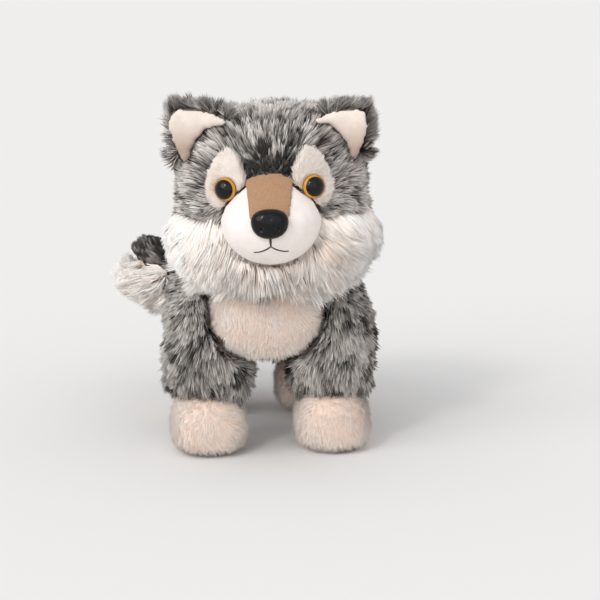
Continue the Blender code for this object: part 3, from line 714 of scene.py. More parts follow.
@dataclass
class Pile:
    """Pile on a bag: where it grows, how it is combed, and how it hangs together in locks.

    Each strand rises from the cloth by the root lift, bends at its elbow, and leans by the tip lift, both
    in degrees. A lock is a pitch and the share by which its strands are drawn together. The glow turns the
    light on pale pile towards the front and above, as if it passed through the strands.
    """

    name: str
    count: int
    length: float
    width: float
    comb: Field
    kind: Strand = Strand.BLADE
    root_lift: float = 62.0
    tip_lift: float = 18.0
    unrest: float = 12.0
    hang: float = 0.0
    swirl: float = 0.35
    swirl_size: float = 0.035
    locks: tuple[tuple[float, float], ...] = ((0.0035, 0.45), (0.009, 0.30))
    lock_shade: float = 0.16
    strand_shade: float = 0.14
    patch_shade: float = 0.10
    shade: float = 0.5
    sink: float = 0.001
    seed: int = 1
    length_at: Field | None = None
    shade_at: Field | None = None
    where: Field | None = None
    clear: Sequence[tuple[Vector, float]] = ()
    room: BVHTree | None = None
    reach_out: float = 0.009
    shun: BVHTree | None = None
    shun_reach: float = 0.004
    roundness: float = 0.6
    tries: int = 4
    glow: tuple[float, float, float] = (0.0, 0.0, 0.0)
    elbow_share: float = 0.45
    length_range: tuple[float, float] = (0.78, 1.12)
    lock_range: tuple[float, float] = (0.85, 1.12)
    width_range: tuple[float, float] = (0.7, 1.2)
    strand_turn: float = 0.12
    blade_turn: float = 0.5
    most_turn: float = 1.2
    lock_reach: float = 0.6
    shade_wave: float = 0.022

    def sow(self, mesh: bpy.types.Mesh, dice: np.random.Generator) -> tuple[np.ndarray, np.ndarray]:
        """Scatters the roots over the bag.

        Args:
            mesh: The bag's mesh.
            dice: The random numbers.

        Returns:
            The roots' places and the bag's normals there.
        """
        mesh.calc_loop_triangles()
        corners = np.empty(len(mesh.loop_triangles) * 3, dtype=np.int64)
        mesh.loop_triangles.foreach_get("vertices", corners)
        corners = corners.reshape(-1, 3)
        places = np.empty(len(mesh.vertices) * 3)
        mesh.vertices.foreach_get("co", places)
        places = places.reshape(-1, 3)
        normals = np.empty(len(mesh.vertices) * 3)
        mesh.vertex_normals.foreach_get("vector", normals)
        normals = normals.reshape(-1, 3)
        first, second, third = (places[corners[:, index]] for index in range(3))
        area = np.linalg.norm(np.cross(second - first, third - first), axis=1)
        number = self.count * self.tries
        chosen = dice.choice(len(area), size=number, p=area / area.sum())
        share = dice.random((number, 2))
        over = share.sum(axis=1) > 1
        share[over] = 1 - share[over]
        weights = np.column_stack([1 - share.sum(axis=1), share])[:, :, None]
        roots = (places[corners[chosen]] * weights).sum(axis=1)
        ways = unit((normals[corners[chosen]] * weights).sum(axis=1))
        wanted = np.ones(number) if self.where is None else np.clip(self.where(roots, ways), 0, 1)
        kept = dice.random(number) < wanted
        roots, ways = roots[kept], ways[kept]
        if self.room is not None:
            free = [self.is_free(Vector(place)) for place in roots + ways * self.reach_out]
            roots, ways = roots[free], ways[free]
        return roots[:self.count], ways[:self.count]

    def is_free(self, place: Vector) -> bool:
        """True where no neighbour's solid holds the place."""
        _, normal, _, _ = self.room.ray_cast(place, PROBE)
        return normal is None or normal.dot(PROBE) < 0

    def gather(self, roots: np.ndarray, pitch: float, dice: np.random.Generator) -> np.ndarray:
        """Finds each root's lock.

        Args:
            roots: The roots' places.
            pitch: How far apart the locks are.
            dice: The random numbers.

        Returns:
            The number of the strand that leads each root's lock.
        """
        tree = KDTree(len(roots))
        for index, root in enumerate(roots):
            tree.insert(root, index)
        tree.balance()
        leader = np.full(len(roots), -1)
        for index in dice.permutation(len(roots)):
            if leader[index] < 0:
                for _, near, _ in tree.find_range(roots[index], pitch * self.lock_reach):
                    if leader[near] < 0:
                        leader[near] = index
        return leader

    def mesh(self, bag: bpy.types.Mesh) -> bpy.types.Mesh:
        """Grows the pile.

        Args:
            bag: The mesh that it grows on.

        Returns:
            The strands as one mesh, with their map.
        """
        dice = np.random.default_rng(self.seed)
        roots, normals = self.sow(bag, dice)
        number = len(roots)
        comb = self.comb(roots, normals)
        comb = unit(comb - normals * (comb * normals).sum(axis=1, keepdims=True))
        aside = np.cross(normals, comb)
        turn = wave(roots, self.swirl_size, self.seed + 3) * self.swirl
        turn += dice.normal(0, self.strand_turn, number)
        comb = comb * np.cos(turn)[:, None] + aside * np.sin(turn)[:, None]
        unrest = dice.normal(0, math.radians(self.unrest), number)
        low = math.radians(self.root_lift) + unrest
        high = math.radians(self.tip_lift) + unrest
        first = normals * np.sin(low)[:, None] + comb * np.cos(low)[:, None]
        last = normals * np.sin(high)[:, None] + comb * np.cos(high)[:, None]
        last = unit(last + np.array((0, 0, -self.hang)))
        length = self.length * dice.uniform(*self.length_range, number)
        if self.length_at is not None:
            length = length * self.length_at(roots, normals)
        shade = self.shade + dice.normal(0, self.strand_shade, number)
        shade = shade + wave(roots, self.shade_wave, self.seed + 7) * self.patch_shade
        if self.shade_at is not None:
            shade = shade + self.shade_at(roots, normals)
        elbow = roots + first * (length * self.elbow_share)[:, None]
        tip = elbow + last * (length * (1 - self.elbow_share))[:, None]
        for pitch, pull in self.locks:
            leader = self.gather(roots, pitch, dice)
            longer = dice.uniform(*self.lock_range, number)[leader]
            tip = roots + (tip - roots) * longer[:, None]
            elbow = elbow + (elbow[leader] - elbow) * pull * self.elbow_share
            tip = tip + (tip[leader] - tip) * pull
            shade = shade + dice.normal(0, self.lock_shade, number)[leader]
        kept = np.ones(number, dtype=bool)
        for centre, radius in self.clear:
            for points in (tip, elbow):
                kept &= np.linalg.norm(points - np.array(centre), axis=1) > radius
        kept &= tip[:, 2] > 2 * PILE_GAP
        if self.shun is not None:
            for index in np.flatnonzero(kept):
                near = [self.shun.find_nearest(Vector(points[index]), self.shun_reach)[0]
                        for points in (tip, elbow)]
                kept[index] = near == [None, None]
        return self.strands(roots[kept] - normals[kept] * self.sink, elbow[kept], tip[kept], normals[kept],
                            shade[kept], dice)

    def strands(self, roots: np.ndarray, elbow: np.ndarray, tip: np.ndarray, normals: np.ndarray,
                shade: np.ndarray, dice: np.random.Generator) -> bpy.types.Mesh:
        """Repeats the strand's shape along every path.

        Args:
            roots: Where the strands start.
            elbow: What they bend towards.
            tip: Where they end.
            normals: The bag's normals at the roots.
            shade: Each strand's shade, 0 dark to 1 light.
            dice: The random numbers.

        Returns:
            The mesh.
        """
        places, faces = strand_shape(self.kind)
        number, corners = len(roots), len(places)
        axis = unit(tip - roots)
        across = unit(np.cross(axis, normals) + 1e-6)
        other = np.cross(axis, across)
        turn = np.clip(dice.normal(0, self.blade_turn, number), -self.most_turn, self.most_turn)[:, None]
        across, other = (across * np.cos(turn) + other * np.sin(turn),
                         other * np.cos(turn) - across * np.sin(turn))
        thick = (self.width / 2 * dice.uniform(*self.width_range, number))[:, None, None]
        along = places[None, :, 2, None]
        path = ((1 - along) ** 2 * roots[:, None] + 2 * along * (1 - along) * elbow[:, None]
                + along ** 2 * tip[:, None])
        aside = places[None, :, 0, None] * across[:, None] + places[None, :, 1, None] * other[:, None]
        points = path + thick * aside
        points[:, :, 2] = np.maximum(points[:, :, 2], PILE_GAP)
        triangles = (faces[None] + (np.arange(number) * corners)[:, None, None]).reshape(-1)
        mesh = bpy.data.meshes.new(self.name)
        mesh.vertices.add(number * corners)
        mesh.vertices.foreach_set("co", points.astype(np.float32).ravel())
        mesh.loops.add(len(triangles))
        mesh.loops.foreach_set("vertex_index", triangles.astype(np.int32))
        mesh.polygons.add(len(triangles) // 3)
        mesh.polygons.foreach_set("loop_start", np.arange(0, len(triangles), 3, dtype=np.int32))
        mesh.update(calc_edges=True)
        mesh.shade_smooth()
        lit = unit(normals + np.array(self.glow))
        shading = unit(lit[:, None] + places[None, :, 0, None] * across[:, None] * self.roundness)
        mesh.normals_split_custom_set_from_vertices(shading.reshape(-1, 3))
        tone = np.clip(shade, SHADE_MARGIN, 1 - SHADE_MARGIN)[:, None]
        tone = tone + (places[:, :2] @ np.array(CORNER_WAY))[None] * CORNER_SPREAD
        way = np.broadcast_to(MAP_MARGIN + (1 - 2 * MAP_MARGIN) * places[:, 2], tone.shape)
        spots = np.stack([tone, way], axis=-1).reshape(-1, 2)
        layer = mesh.uv_layers.new(name=UV_NAME)
        layer.data.foreach_set("uv", spots[triangles].astype(np.float32).ravel())
        return mesh

    def make(self, bag: bpy.types.Mesh, finish: PileFinish) -> bpy.types.Object:
        """Makes the pile as a piece.

        Args:
            bag: The mesh that it grows on.
            finish: Its colours.

        Returns:
            The piece.
        """
        piece = add_piece(self.name, self.mesh(bag), finish.material())
        LOG.info("%s: %d faces", piece.name, len(piece.data.polygons))
        return piece


# ---------------------------------------------------------------- the wolf


@dataclass
class Body:
    """Torso, chest panel and tail."""

    toy: Toy
    pile_length: float = 0.0118
    strand_width: float = 0.00068
    flank_top: float = 0.125
    flank_depth: float = 0.05
    belly_cut: float = 0.62
    throat_reach: float = 0.046
    chest_pile: float = 0.0058
    chest_width: float = 0.0006
    chest_spread: float = 14.0
    tail_pile: float = 0.019
    tail_way: tuple[float, float, float] = (-0.75, 0.42, -0.25)
    strip_pile: float = 0.0085
    strip_way: tuple[float, float, float] = (-0.65, 0.35, 0.55)
    tail_width: float = 0.0006

    def torso_comb(self, points: np.ndarray, normals: np.ndarray) -> np.ndarray:
        """Back along the spine, and down on the flanks."""
        body = self.toy.in_body(points)
        down = -0.25 - 0.9 * np.clip((self.flank_top - body[:, 2]) / self.flank_depth, 0, 1)
        return np.column_stack([body[:, 0] * 4, np.ones(len(points)), down])

    def torso_lengths(self, points: np.ndarray, normals: np.ndarray) -> np.ndarray:
        """Short on the belly."""
        return 1 - self.belly_cut * np.clip((-normals[:, 2] - 0.1) / 0.5, 0, 1)

    def chest_comb(self, points: np.ndarray, normals: np.ndarray) -> np.ndarray:
        """Down and a little outwards."""
        body = self.toy.in_body(points)
        level = np.ones(len(points))
        return np.column_stack([body[:, 0] * self.chest_spread, -0.1 * level, -level])

    def tail_comb(self, points: np.ndarray, normals: np.ndarray) -> np.ndarray:
        """Out along the tail, and down where it hangs."""
        return np.tile(self.tail_way, (len(points), 1))

    def strip_comb(self, points: np.ndarray, normals: np.ndarray) -> np.ndarray:
        """Up the dark strip to its end."""
        return np.tile(self.strip_way, (len(points), 1))

    def above_tail(self, points: np.ndarray, normals: np.ndarray) -> np.ndarray:
        """No dark pile on the strip's underside."""
        return np.clip((normals[:, 2] + 0.15) / 0.3, 0, 1)

    def beside_throat(self, points: np.ndarray, normals: np.ndarray) -> np.ndarray:
        """No grey pile on the torso's front, where the throat lies on it."""
        across = np.abs(self.toy.in_body(points)[:, 0])
        front = np.clip((-normals[:, 1] - 0.15) / 0.2, 0, 1)
        return 1 - front * np.clip((self.throat_reach - across) / 0.006, 0, 1)

    def make(self) -> None:
        """Makes the pieces."""
        toy = self.toy
        bag = Bag("torso", 0.0048).make(toy, UNDER_GREY, "grey_pile")
        near = toy.solids(["head", "ruff", "chest_panel", *LEG_NODES, "tail_top", "tail_underside"])
        Pile("torso_pile", 18000, self.pile_length, self.strand_width, self.torso_comb, seed=21,
             room=near, reach_out=0.004, shade=0.44, length_at=self.torso_lengths,
             where=self.beside_throat).make(bag.data, GREY_PILE)
        bag = Bag("chest_panel", 0.0016, voxel=0.004, fine=1).make(toy, PEACH_CLOTH, "peach_pile")
        near = toy.solids(["torso"])
        Pile("chest_pile", 11000, self.chest_pile, self.chest_width, self.chest_comb, Strand.SHORT,
             seed=22, room=near, reach_out=0.001, root_lift=42, tip_lift=16, locks=SHORT_LOCKS, swirl=0.7,
             lock_shade=0.07, strand_shade=0.10, sink=0.0006).make(bag.data, PEACH_PILE)
        bag = Bag("tail_underside", 0.0060, swell=0.002).make(toy, CREAM_CLOTH, "cream_pile")
        near = toy.solids(["tail_top", "torso", "hind_leg_right"])
        Pile("tail_underside_pile", 13000, self.tail_pile, self.tail_width, self.tail_comb, seed=23,
             room=near, hang=0.30, root_lift=42, tip_lift=12, unrest=9, lock_shade=0.06,
             strand_shade=0.08, shade=0.5, glow=(-0.2, -1.0, 0.7), locks=LONG_LOCKS,
             reach_out=0.002).make(bag.data, TAIL_PILE)
        bag = Bag("tail_top", 0.0040, voxel=0.004, swell=0.0015).make(toy, UNDER_DARK, "dark_pile")
        near = toy.solids(["tail_underside", "torso", "hind_leg_right"])
        Pile("tail_top_pile", 6000, self.strip_pile, self.tail_width, self.strip_comb, seed=24,
             room=near, hang=-0.3, reach_out=0.004, shade=0.36,
             where=self.above_tail).make(bag.data, DARK_PILE)


@dataclass
class Legs:
    """The four legs with long pile, and their paws with short pile."""

    toy: Toy
    pile_length: float = 0.0132
    strand_width: float = 0.00068
    paw_pile: float = 0.0056
    paw_width: float = 0.0006
    sole_height: float = 0.0015
    hem: float = 0.032
    hem_reach: float = 0.024
    hem_depth: float = 0.014
    hem_growth: float = 0.62
    hem_unevenness: float = 0.38

    def leg_comb(self, points: np.ndarray, normals: np.ndarray) -> np.ndarray:
        """Down, and a little outwards."""
        return np.column_stack([normals[:, :2] * 0.35, -np.ones(len(points))])

    def paw_comb(self, points: np.ndarray, normals: np.ndarray) -> np.ndarray:
        """Forwards over the paw's top, and down its sides."""
        level = np.ones(len(points))
        return np.column_stack([normals[:, 0] * 0.5, -0.5 * level, -level])

    def leg_lengths(self, points: np.ndarray, normals: np.ndarray) -> np.ndarray:
        """Longer and ragged at the hem over the paw."""
        low = np.clip((self.hem + self.hem_reach - points[:, 2]) / self.hem_depth, 0, 1)
        return 1 + low * (self.hem_growth + self.hem_unevenness * wave(points, 0.009, 91))

    def make(self) -> None:
        """Makes the pieces."""
        toy = self.toy
        seed = 30
        for end, count, paw_count in (("front", 20000, 8500), ("hind", 10000, 4500)):
            for side in Side:
                seed += 1
                leg = f"{end}_leg_{side.word}"
                paw = f"{end}_paw_{side.word}"
                bag = Bag(leg, 0.0056, swell=0.0015).make(toy, UNDER_GREY, "grey_pile")
                near = toy.solids([name for name in ("torso", *LEG_NODES) if name != leg])
                Pile(f"{leg}_pile", count, self.pile_length, self.strand_width, self.leg_comb, seed=seed,
                     room=near, reach_out=0.0045, lock_shade=0.12, shade=0.40, hang=0.15, root_lift=64,
                     tip_lift=25,
                     length_at=self.leg_lengths, locks=GREY_LOCKS).make(bag.data, GREY_PILE)
                bag = Bag(paw, 0.0028, voxel=0.004, swell=0.0012, fine=1).make(toy, PEACH_CLOTH, "peach_pile")
                Pile(f"{paw}_pile", paw_count, self.paw_pile, self.paw_width, self.paw_comb, Strand.SHORT,
                     seed=seed + 10, room=toy.solids([leg]), reach_out=0.003, root_lift=48, tip_lift=22,
                     locks=SHORT_LOCKS, swirl=0.7, lock_shade=0.07, strand_shade=0.10, sink=0.0006,
                     where=self.above_sole).make(bag.data, PEACH_PILE)

    def above_sole(self, points: np.ndarray, normals: np.ndarray) -> np.ndarray:
        """No pile on the flat of the sole."""
        return np.clip((points[:, 2] - self.sole_height) / 0.003, 0, 1)


@dataclass
class Head:
    """Head bag, ruff and ears, with their long pile."""

    toy: Toy
    pile_length: float = 0.0112
    strand_width: float = 0.00064
    ruff_length: float = 0.021
    ruff_width: float = 0.00068
    eye_spacing: float = 0.0565
    eye_rise: float = 0.0015
    eye_front: float = -0.0525
    eye_clear: float = 0.0105
    face_middle: tuple[float, float, float] = (0.0, -0.050, -0.008)
    brow_height: float = 0.014
    ear_spread: float = 0.044
    ear_height: float = 0.036
    white_below: float = -0.019
    white_end: float = -0.004
    throat_end: float = 0.034
    throat_half: float = 0.050
    nape_drop: float = 0.07
    muzzle_middle: tuple[float, float, float] = (0.0, -0.060, -0.019)
    ear_pile: float = 0.0120
    ear_width: float = 0.0006

    def comb(self, points: np.ndarray, normals: np.ndarray) -> np.ndarray:
        """Away from the face: up on the brow, out on the cheeks, and down at the back."""
        head = self.toy.in_head(points)
        ways = head - np.array(self.face_middle)
        ways = unit(ways) + np.array((0.0, 0.25, 0.10))
        behind = np.clip((head[:, 1] - 0.005) / 0.03, 0, 1)
        ways[:, 2] -= behind * 1.6
        return self.toy.from_head(ways)

    def lengths(self, points: np.ndarray, normals: np.ndarray) -> np.ndarray:
        """Shorter on the brow, on the cheeks and before the ears."""
        head = self.toy.in_head(points)
        across, up = np.abs(head[:, 0]), head[:, 2]
        brow = bell(np.hypot(across, up - self.brow_height), 0.030) * (head[:, 1] < 0)
        cheek = np.clip((across - 0.040) / 0.02, 0, 1) * (up < 0.02)
        beside = np.hypot(across - self.ear_spread, up - self.ear_height)
        ear = bell(np.hypot(beside, head[:, 1] + 0.030), 0.018)
        return 1 - 0.40 * brow - 0.18 * cheek - 0.22 * ear

    def shades(self, points: np.ndarray, normals: np.ndarray) -> np.ndarray:
        """Nearly black above the bridge, darker beside the eye patches, light on the crown."""
        head = self.toy.in_head(points)
        front = head[:, 1] < 0.0
        across, up = np.abs(head[:, 0]), head[:, 2]
        brow = bell(np.hypot(across * 0.70, (up - self.brow_height) * 1.25), 0.017) * front
        streak = bell(np.hypot(across - 0.046, (up + 0.002) * 0.28), 0.009) * front
        crown = np.clip((up - 0.026) / 0.02, 0, 1) * (across < 0.040)
        return -0.85 * brow - 0.10 * streak + 0.08 * crown

    def whiteness(self, points: np.ndarray) -> np.ndarray:
        """1 on the white lower face and throat, 0 above its ragged edge and on the nape."""
        head = self.toy.in_head(points)
        edge = self.white_below + wave(points, 0.012, 77) * 0.0012
        throat = np.clip((self.throat_half - np.abs(head[:, 0])) / 0.015, 0, 1)
        behind = head[:, 1] - (self.white_end + self.throat_end * throat)
        edge = edge - np.clip(behind / 0.03, 0, 1) * self.nape_drop
        return np.clip((edge - head[:, 2]) / 0.002 + 0.5, 0, 1)

    def is_grey(self, points: np.ndarray, normals: np.ndarray) -> np.ndarray:
        """Where the head's grey pile grows."""
        return 1 - self.whiteness(points)

    def is_white(self, points: np.ndarray, normals: np.ndarray) -> np.ndarray:
        """Where the head's white pile grows."""
        return self.whiteness(points)

    def ruff_comb(self, points: np.ndarray, normals: np.ndarray) -> np.ndarray:
        """Outwards round the muzzle, and down."""
        head = self.toy.in_head(points)
        ways = head - np.array(self.muzzle_middle)
        ways[:, 1] = 0.006
        ways = unit(ways) + np.array((0.0, 0.05, -0.85))
        return self.toy.from_head(ways)

    def ruff_lengths(self, points: np.ndarray, normals: np.ndarray) -> np.ndarray:
        """Shorter at the sides."""
        across = np.abs(self.toy.in_head(points)[:, 0])
        return 1 - 0.30 * np.clip((across - 0.042) / 0.02, 0, 1)

    def ruff_tone_and_chin_shade(self, points: np.ndarray, normals: np.ndarray) -> np.ndarray:
        """Darker and creamier near the muzzle and beneath the chin, white further out: partly the ruff's own
        cream and partly painted shade under the muzzle.
        """
        head = self.toy.in_head(points)
        out = np.hypot(head[:, 0], head[:, 2] + 0.030)
        # painted shade in part: the darkening near the muzzle also stands for the muzzle's shadow on the ruff
        return np.clip((out - 0.036) / 0.034, 0, 1) * 0.32 - 0.12

    def make(self) -> None:
        """Makes the pieces."""
        toy = self.toy
        eyes = []
        for side in Side:
            place = Vector((side.value * self.eye_spacing / 2, self.eye_front, self.eye_rise))
            eyes.append((toy.head @ place, self.eye_clear))
        Bag("head", 0.0048).make(toy, HEAD_CLOTH, "grey_pile")
        Bag("ruff", 0.0072).make(toy, WHITE_CLOTH, "white_pile")
        form = Bag("head", 0.0048, rounds=12, swell=0.0, joined=("ruff",)).mesh(toy)
        ears = ["ear_left", "ear_right", "ear_lining_left", "ear_lining_right"]
        near = toy.solids(["muzzle", "nose_bridge", "eye_patch_left", "eye_patch_right", "torso", *ears])
        Pile("head_pile", 36000, self.pile_length, self.strand_width, self.comb, seed=41, room=near,
             reach_out=0.0075, length_at=self.lengths, shade_at=self.shades, clear=eyes, where=self.is_grey,
             root_lift=55, tip_lift=18, shade=0.55, locks=GREY_LOCKS,
             shun=toy.solids(ears[2:]), shun_reach=0.0008, tries=5,
             glow=(0.0, -0.15, 0.25)).make(form, GREY_PILE)
        near = toy.solids(["muzzle", "torso", "nose_bridge"])
        Pile("ruff_pile", 30000, self.ruff_length, self.ruff_width, self.ruff_comb, seed=42,
             room=near, reach_out=0.0025, hang=0.25, root_lift=40, tip_lift=9, unrest=9,
             locks=LONG_LOCKS, shade=0.60, shade_at=self.ruff_tone_and_chin_shade,
             lock_shade=0.07, strand_shade=0.10, where=self.is_white, tries=8,
             glow=(-0.1, -1.0, 1.0), length_at=self.ruff_lengths).make(form, WHITE_PILE)
        bpy.data.meshes.remove(form)
        for side in Side:
            self.make_ear(side)

    def make_ear(self, side: Side) -> None:
        """Makes one ear: its dark shaggy back and its smooth lining."""
        toy = self.toy
        word = side.word
        low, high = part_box("ear_lining_" + word)
        middle = np.array((low + high) / 2)

        def comb(points: np.ndarray, normals: np.ndarray) -> np.ndarray:
            """Up to the ear's edge and out over it."""
            return unit(points - middle) * 1.2 + np.array((side.value * 0.45, -0.1, 0.6))

        def behind(points: np.ndarray, normals: np.ndarray) -> np.ndarray:
            """No pile on the ear's face."""
            face = normals @ np.array(toy.head)[:3, 1]
            return np.clip((face + 0.45) / 0.3, 0, 1)

        bag = Bag("ear_" + word, 0.0020, voxel=0.0025, rounds=5, swell=0.0008)
        bag = bag.make(toy, UNDER_GREY, "dark_pile")
        near = toy.solids(["head", "ear_lining_" + word])
        Pile(f"ear_{word}_pile", 6000, self.ear_pile, self.ear_width, comb, seed=50 + side.value,
             room=near, where=behind, reach_out=0.003, locks=((0.003, 0.30),), shade=0.50,
             root_lift=40, tip_lift=20,
             unrest=20, glow=(0.0, -0.6, 0.4)).make(bag.data, EAR_PILE)
        lining = Bag("ear_lining_" + word, -0.0018, voxel=0.0015, rounds=9, swell=0.0, fine=1)
        lining.make(toy, LINING_CLOTH, "ear_lining")


@dataclass
class Face:
    """Muzzle, brown bridge panel, eye patches, eyes, nose and mouth."""

    toy: Toy
    eye_radius: float = 0.0078
    eye_dome: float = 0.0052
    dome_height: float = 0.0032
    dome_angle: float = 68.0
    dome_steps: int = 12
    eye_flange: float = 0.0014
    eye_rounding: float = 0.0004
    shank_radius: float = 0.0019
    shank_rounding: float = 0.0004
    shank_length: float = 0.0139
    ring_width: float = 0.0012
    eye_spacing: float = 0.0565
    eye_rise: float = 0.0015
    eye_front: float = -0.0525
    eye_clear: float = 0.0090
    eye_turn: float = 24.0
    eye_tilt: float = 4.0
    patch_thickness: float = 0.0020
    head_half: tuple[float, float, float] = (0.066, 0.053, 0.053)
    head_squareness: float = 2.5
    nose_half: tuple[float, float, float] = (0.01225, 0.0075, 0.00975)
    nose_centre: tuple[float, float, float] = (0.0, -0.0825, -0.0175)
    nose_squareness: float = 2.3
    nose_taper: float = 0.10
    nostril_depth: float = 0.0022
    groove_depth: float = 0.0007
    dent_depth: float = 0.0007
    patch_pile: float = 0.0048
    patch_width: float = 0.0005

    def patch_comb(self, points: np.ndarray, normals: np.ndarray) -> np.ndarray:
        """Up and outwards from the bridge."""
        head = self.toy.in_head(points)
        level = np.ones(len(points))
        ways = np.column_stack([head[:, 0] * 14, 0.1 * level, 0.5 + head[:, 2] * 30])
        return self.toy.from_head(ways)

    def make(self) -> None:
        """Makes the pieces."""
        toy = self.toy
        muzzle = Bag("muzzle", -0.0009, voxel=0.0025, rounds=6, swell=0.0002, fine=1)
        muzzle.make(toy, MUZZLE_CLOTH, "short_white")
        bridge = Bag("nose_bridge", -0.0007, voxel=0.0011, rounds=4, swell=0.0)
        bridge.make(toy, BRIDGE_CLOTH, "brown_pile")
        for side in Side:
            self.make_patch(side)
            self.make_eye(side)
        self.make_nose()
        carried = {"mouth_stitch": THREAD, "eye_washer_left": WASHER_PLASTIC,
                   "eye_washer_right": WASHER_PLASTIC, "nose_washer": WASHER_PLASTIC}
        for name, finish in carried.items():
            mesh = toy.frame["nodes"][name].data
            mesh.materials.clear()
            mesh.materials.append(finish.material())

    def make_patch(self, side: Side) -> None:
        """Makes the cream patch round one eye."""
        toy = self.toy
        name = "eye_patch_" + side.word
        bag = Bag(name, -0.0006, voxel=0.0012, rounds=3, swell=0.0).make(toy, CREAM_CLOTH, "cream_pile")
        eye = toy.head @ Vector((side.value * self.eye_spacing / 2, self.eye_front, self.eye_rise))
        Pile(name + "_pile", 5000, self.patch_pile, self.patch_width, self.patch_comb, seed=60 + side.value,
             room=toy.solids(["head", "muzzle", "nose_bridge"]), reach_out=0.0022, root_lift=34, tip_lift=16,
             locks=((0.003, 0.22),), clear=((eye, self.eye_clear),), sink=0.0005, swirl=0.25,
             lock_shade=0.06, strand_shade=0.10).make(bag.data, CREAM_PILE)

    def eye_place(self, side: Side) -> Matrix:
        """The eye's axes in the frame: Z is the way that it looks."""
        across, up = side.value * self.eye_spacing / 2, self.eye_rise
        power = self.head_squareness
        spread = abs(across / self.head_half[0]) ** power + abs(up / self.head_half[2]) ** power
        front = -self.head_half[1] * (1 - spread) ** (1 / power)
        turn = math.radians(side.value * self.eye_turn)
        out = Matrix.Rotation(turn, 3, "Z") @ Vector((0, -1, 0))
        seat = Vector((across, front, up)) + out * (self.patch_thickness + self.eye_flange / 2)
        look = Matrix.Rotation(turn, 4, "Z") @ Matrix.Rotation(math.radians(90 - self.eye_tilt), 4, "X")
        return self.toy.head @ Matrix.Translation(seat) @ look

    def make_eye(self, side: Side) -> None:
        """Makes one moulded eye: a domed black pupil in a sloping amber ring, with its shank."""
        shape = bmesh.new()
        ring = self.eye_radius - self.ring_width
        rim = self.eye_radius - self.eye_rounding
        end = self.shank_radius - self.shank_rounding
        widest = math.radians(self.dome_angle)
        corners = [(0.0, self.eye_dome)]
        for step in range(1, self.dome_steps + 1):
            angle = widest * step / self.dome_steps
            drop = (1 - math.cos(angle)) / (1 - math.cos(widest))
            across = ring * math.sin(angle) / math.sin(widest)
            corners.append((across, self.eye_dome - self.dome_height * drop))
        corners += [(ring + 0.0003, self.eye_dome - self.dome_height - 0.0002), (rim, 0.0007),
                    (self.eye_radius, 0.0002), (self.eye_radius, -self.eye_flange * 0.7),
                    (rim, -self.eye_flange), (self.shank_radius, -self.eye_flange),
                    (self.shank_radius, -self.shank_length + 0.0003),
                    (end, -self.shank_length), (0.0, -self.shank_length)]
        last = None
        for across, up in corners:
            vertex = shape.verts.new((across, 0, up))
            if last is not None:
                shape.edges.new((last, vertex))
            last = vertex
        bmesh.ops.spin(shape, geom=shape.verts[:] + shape.edges[:], cent=(0, 0, 0), axis=(0, 0, 1),
                       angle=math.tau, steps=40, use_merge=True, use_duplicate=False)
        bmesh.ops.remove_doubles(shape, verts=shape.verts, dist=MERGE)
        bmesh.ops.recalc_face_normals(shape, faces=shape.faces)
        marks = []
        for face in shape.faces:
            middle = face.calc_center_median()
            out = math.hypot(middle.x, middle.y)
            marks.append(2 if middle.z < 0.0004 else 0 if out < ring + 0.0001 else 1)
        shape.transform(self.eye_place(side))
        mesh = bpy.data.meshes.new("eye")
        shape.to_mesh(mesh)
        shape.free()
        mesh.shade_smooth()
        mesh.set_sharp_from_angle(angle=math.radians(50))
        piece = add_piece("eye_dome_" + side.word, mesh, PUPIL_PLASTIC.material())
        mesh.materials.append(AMBER_PLASTIC.material())
        mesh.materials.append(RIM_PLASTIC.material())
        mesh.polygons.foreach_set("material_index", marks)
        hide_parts("eye_" + side.word)
        LOG.info("%s: %d faces", piece.name, len(mesh.polygons))

    def make_nose(self) -> None:
        """Makes the moulded nose: two nostrils, a groove between them and a shallow dent above."""
        shape = bmesh.new()
        bmesh.ops.create_uvsphere(shape, u_segments=56, v_segments=40, radius=1.0)
        low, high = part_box("nose")
        half = Vector(self.nose_half)
        centre = Vector(self.nose_centre)
        for vertex in shape.verts:
            way = vertex.co.normalized()
            way = Vector((way.x, -way.z, way.y))
            size = sum(abs(part) ** self.nose_squareness for part in way) ** (1 / self.nose_squareness)
            spot = Vector(part / size * reach for part, reach in zip(way, half))
            spot.x *= 1 + self.nose_taper * way.z
            if way.y < 0.2:
                across, up = spot.x / half.x, spot.z / half.z
                nostril = math.exp(-(((abs(across) - 0.45) / 0.15) ** 2) - ((up + 0.30) / 0.17) ** 2)
                groove = math.exp(-((across / 0.07) ** 2)) * max(0.0, min(1.0, 0.2 - up * 1.2))
                dent = math.exp(-((across / 0.20) ** 2) - ((up - 0.45) / 0.20) ** 2)
                spot.y += self.nostril_depth * nostril + self.groove_depth * groove + self.dent_depth * dent
            vertex.co = spot + centre
        shape.transform(self.toy.head)
        mesh = bpy.data.meshes.new("nose")
        shape.to_mesh(mesh)
        shape.free()
        mesh.shade_smooth()
        piece = add_piece("nose_button", mesh, NOSE_PLASTIC.material())
        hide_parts("nose")
        LOG.info("%s: %d faces, node box %s %s", piece.name, len(mesh.polygons), low, high)


